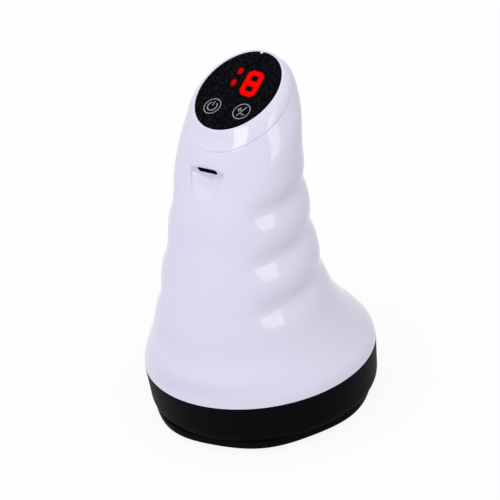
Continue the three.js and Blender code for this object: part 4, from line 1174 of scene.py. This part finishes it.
# %% [markdown]
# ## The floor and the light
# Such a picture is taken in a white tent: the light is even, the floor is white, and small soft
# boxes leave bright patches in the gloss. Lamps alone could light it, but then the white floor
# either burns out or turns grey. So Light Path parts the rays. The camera, mirrors and glass
# see plain white, and the light that falls on the object is worked out apart from that. The
# floor is pale grey for that light and keeps the object's shadow.

# %% Who sees the white background
def background_rays(finish):
    """1 for rays of the camera and for mirror and glass rays, 0 for the light on surfaces."""
    kinds = ("Is Camera Ray", "Is Glossy Ray", "Is Transmission Ray")
    first, second, third = (finish.node("ShaderNodeLightPath", out=kind) for kind in kinds)
    return first.larger(second).larger(third)

# %% The floor
FLOOR_HALF = 6.0
FLOOR_GLOW = 0.9
FLOOR_LEVEL = -0.00002
FLOOR_CORNERS = ((-1, -1), (1, -1), (1, 1), (-1, 1))
PAPER_IN_TENT = (0.5, 0.5, 0.52, 1)
PAPER_SEEN = (0.97, 0.97, 0.97, 1)
WHITE = (1, 1, 1, 1)
floor_points = [(x * FLOOR_HALF, y * FLOOR_HALF, FLOOR_LEVEL) for x, y in FLOOR_CORNERS]
floor_mesh = bpy.data.meshes.new("floor")
floor_mesh.from_pydata(floor_points, [], [(0, 1, 2, 3)])
floor = bpy.data.objects.new("floor", floor_mesh)
bpy.context.scene.collection.objects.link(floor)
paper = Finish("white_paper")
pale = paper.node("ShaderNodeBsdfDiffuse", None, {"Color": PAPER_IN_TENT})
bright = paper.node("ShaderNodeBsdfDiffuse", None, {"Color": PAPER_SEEN})
shine = paper.node("ShaderNodeEmission", None, {"Color": WHITE, "Strength": 1.0})
seen = paper.node("ShaderNodeMixShader", None, [FLOOR_GLOW, bright, shine])
both = paper.node("ShaderNodeMixShader", None, [background_rays(paper), pale, seen])
paper.node("ShaderNodeOutputMaterial", None, {"Surface": both})
floor_mesh.materials.append(paper.owner)
print("floor in metres:", 2 * FLOOR_HALF, "square")

# %% [markdown]
# ## The tent and its soft boxes
# The tent's light comes mostly from the front and a little from above, and it is a trace
# cooler on the left. Big lamps could give that, but they'd show in the gloss. A gradient in the
# world does it without edges. For each direction of the sky it works out how far it points to
# the bright side, and that drives the strength. The two soft boxes only leave their patches in
# the gloss, on the ribs and on the crown. They add no light to the colour below the gloss.

# %% The tent
world = bpy.data.worlds.new("tent")
bpy.context.scene.world = world
sky = Finish("tent", world)
direction = sky.node("ShaderNodeTexCoord", out="Generated")
BRIGHT_SIDE = (0.28, -0.86, 0.42)
COOL_SIDE = (-0.85, -0.3, 0.4)
TENT_LEVEL = 0.78
TENT_SLOPE = 0.57
COOL_LIGHT = (0.965, 0.972, 1.06)
WARM_LIGHT = (1.03, 1.0, 0.95)

def towards(side):
    """How far a direction of the sky points to a side, from -1 to 1."""
    operation = {"operation": "DOT_PRODUCT"}
    return sky.node("ShaderNodeVectorMath", operation, [direction, side], "Value")

level = TENT_LEVEL + TENT_SLOPE * towards(BRIGHT_SIDE)
tint = sky.blend(0.5 + 0.5 * towards(COOL_SIDE), WARM_LIGHT, COOL_LIGHT)
tent = sky.node("ShaderNodeBackground", None, {"Color": tint, "Strength": level})
plain = sky.node("ShaderNodeBackground", None, {"Color": WHITE, "Strength": 1.0})
mixed = sky.node("ShaderNodeMixShader", None, [background_rays(sky), tent, plain])
sky.node("ShaderNodeOutputWorld", None, {"Surface": mixed})
print("nodes in the tent:", len(sky.tree.nodes))

# %% The soft boxes
BOX_DISTANCE = 800.0
BOX_COLOUR = (1.0, 0.97, 0.86)

def soft_box(name, azimuths, elevations, radiance, target):
    """A lamp that fills a patch of directions; azimuth 0 is in front and 90 on the right."""
    azimuth, elevation = (sum(pair) / 2 for pair in (azimuths, elevations))
    spans = (azimuths[1] - azimuths[0], elevations[1] - elevations[0])
    size = [2 * BOX_DISTANCE * math.tan(math.radians(span / 2)) for span in spans]
    size[0] *= math.cos(math.radians(elevation))
    a, e = math.radians(azimuth), math.radians(elevation)
    away = Vector((math.sin(a) * math.cos(e), -math.cos(a) * math.cos(e), math.sin(e)))
    light = bpy.data.lights.new(name, "AREA")
    light.shape = "RECTANGLE"
    light.size, light.size_y = (side * MM for side in size)
    light.energy = radiance * math.pi * size[0] * size[1] * MM**2
    light.color = BOX_COLOUR
    box = bpy.data.objects.new(name, light)
    box.visible_diffuse = False
    box.location = (Vector(target) + away * BOX_DISTANCE) * MM
    box.rotation_euler = away.to_track_quat("Z", "Y").to_euler()
    bpy.context.scene.collection.objects.link(box)
    print(name, "in millimetres:", [round(side) for side in size])

soft_box("side_box", (66, 89), (12.0, 43), 3.6, (22, -6, 100))
soft_box("front_box", (-5, 19), (29, 41), 5.8, (12, -8, 127))

# %% [markdown]
# ## The camera
# The photograph was taken from the right and above with a long lens, and the picture is turned
# by a few degrees. A camera could be placed by eye until the outlines agree. It is quicker and
# closer to work it out, so the numbers come from fitting the seam circle, the panel's oval and
# the key rings of the model to the photograph. The focal length is given in pixels, because
# that is what such a fit finds, and is turned into Blender's millimetres here.

# %% The camera
CAMERA_AZIMUTH = math.radians(41.1)
CAMERA_ELEVATION = math.radians(27.6)
CAMERA_ROLL = math.radians(-8.0)
CAMERA_DISTANCE = 678.0
LOOK_AT = Vector((1.13, 0.99, 68.9))
FOCAL_PIXELS = 1627
PICTURE_WIDTH = 500
camera_data = bpy.data.cameras.new("camera")
camera_data.sensor_width = 36.0
camera_data.lens = camera_data.sensor_width * FOCAL_PIXELS / PICTURE_WIDTH
camera_data.clip_start = 0.05
camera = bpy.data.objects.new("camera", camera_data)
away = Vector((
    math.sin(CAMERA_AZIMUTH) * math.cos(CAMERA_ELEVATION),
    -math.cos(CAMERA_AZIMUTH) * math.cos(CAMERA_ELEVATION),
    math.sin(CAMERA_ELEVATION),
))
turn = away.to_track_quat("Z", "Y").to_matrix() @ Matrix.Rotation(CAMERA_ROLL, 3, "Z")
camera_place = Matrix.Translation((LOOK_AT + away * CAMERA_DISTANCE) * MM)
camera.matrix_world = camera_place @ turn.to_4x4()
bpy.context.scene.collection.objects.link(camera)
bpy.context.scene.camera = camera
bpy.context.scene.view_settings.view_transform = "Standard"
print("focal length in millimetres:", round(camera_data.lens, 1))
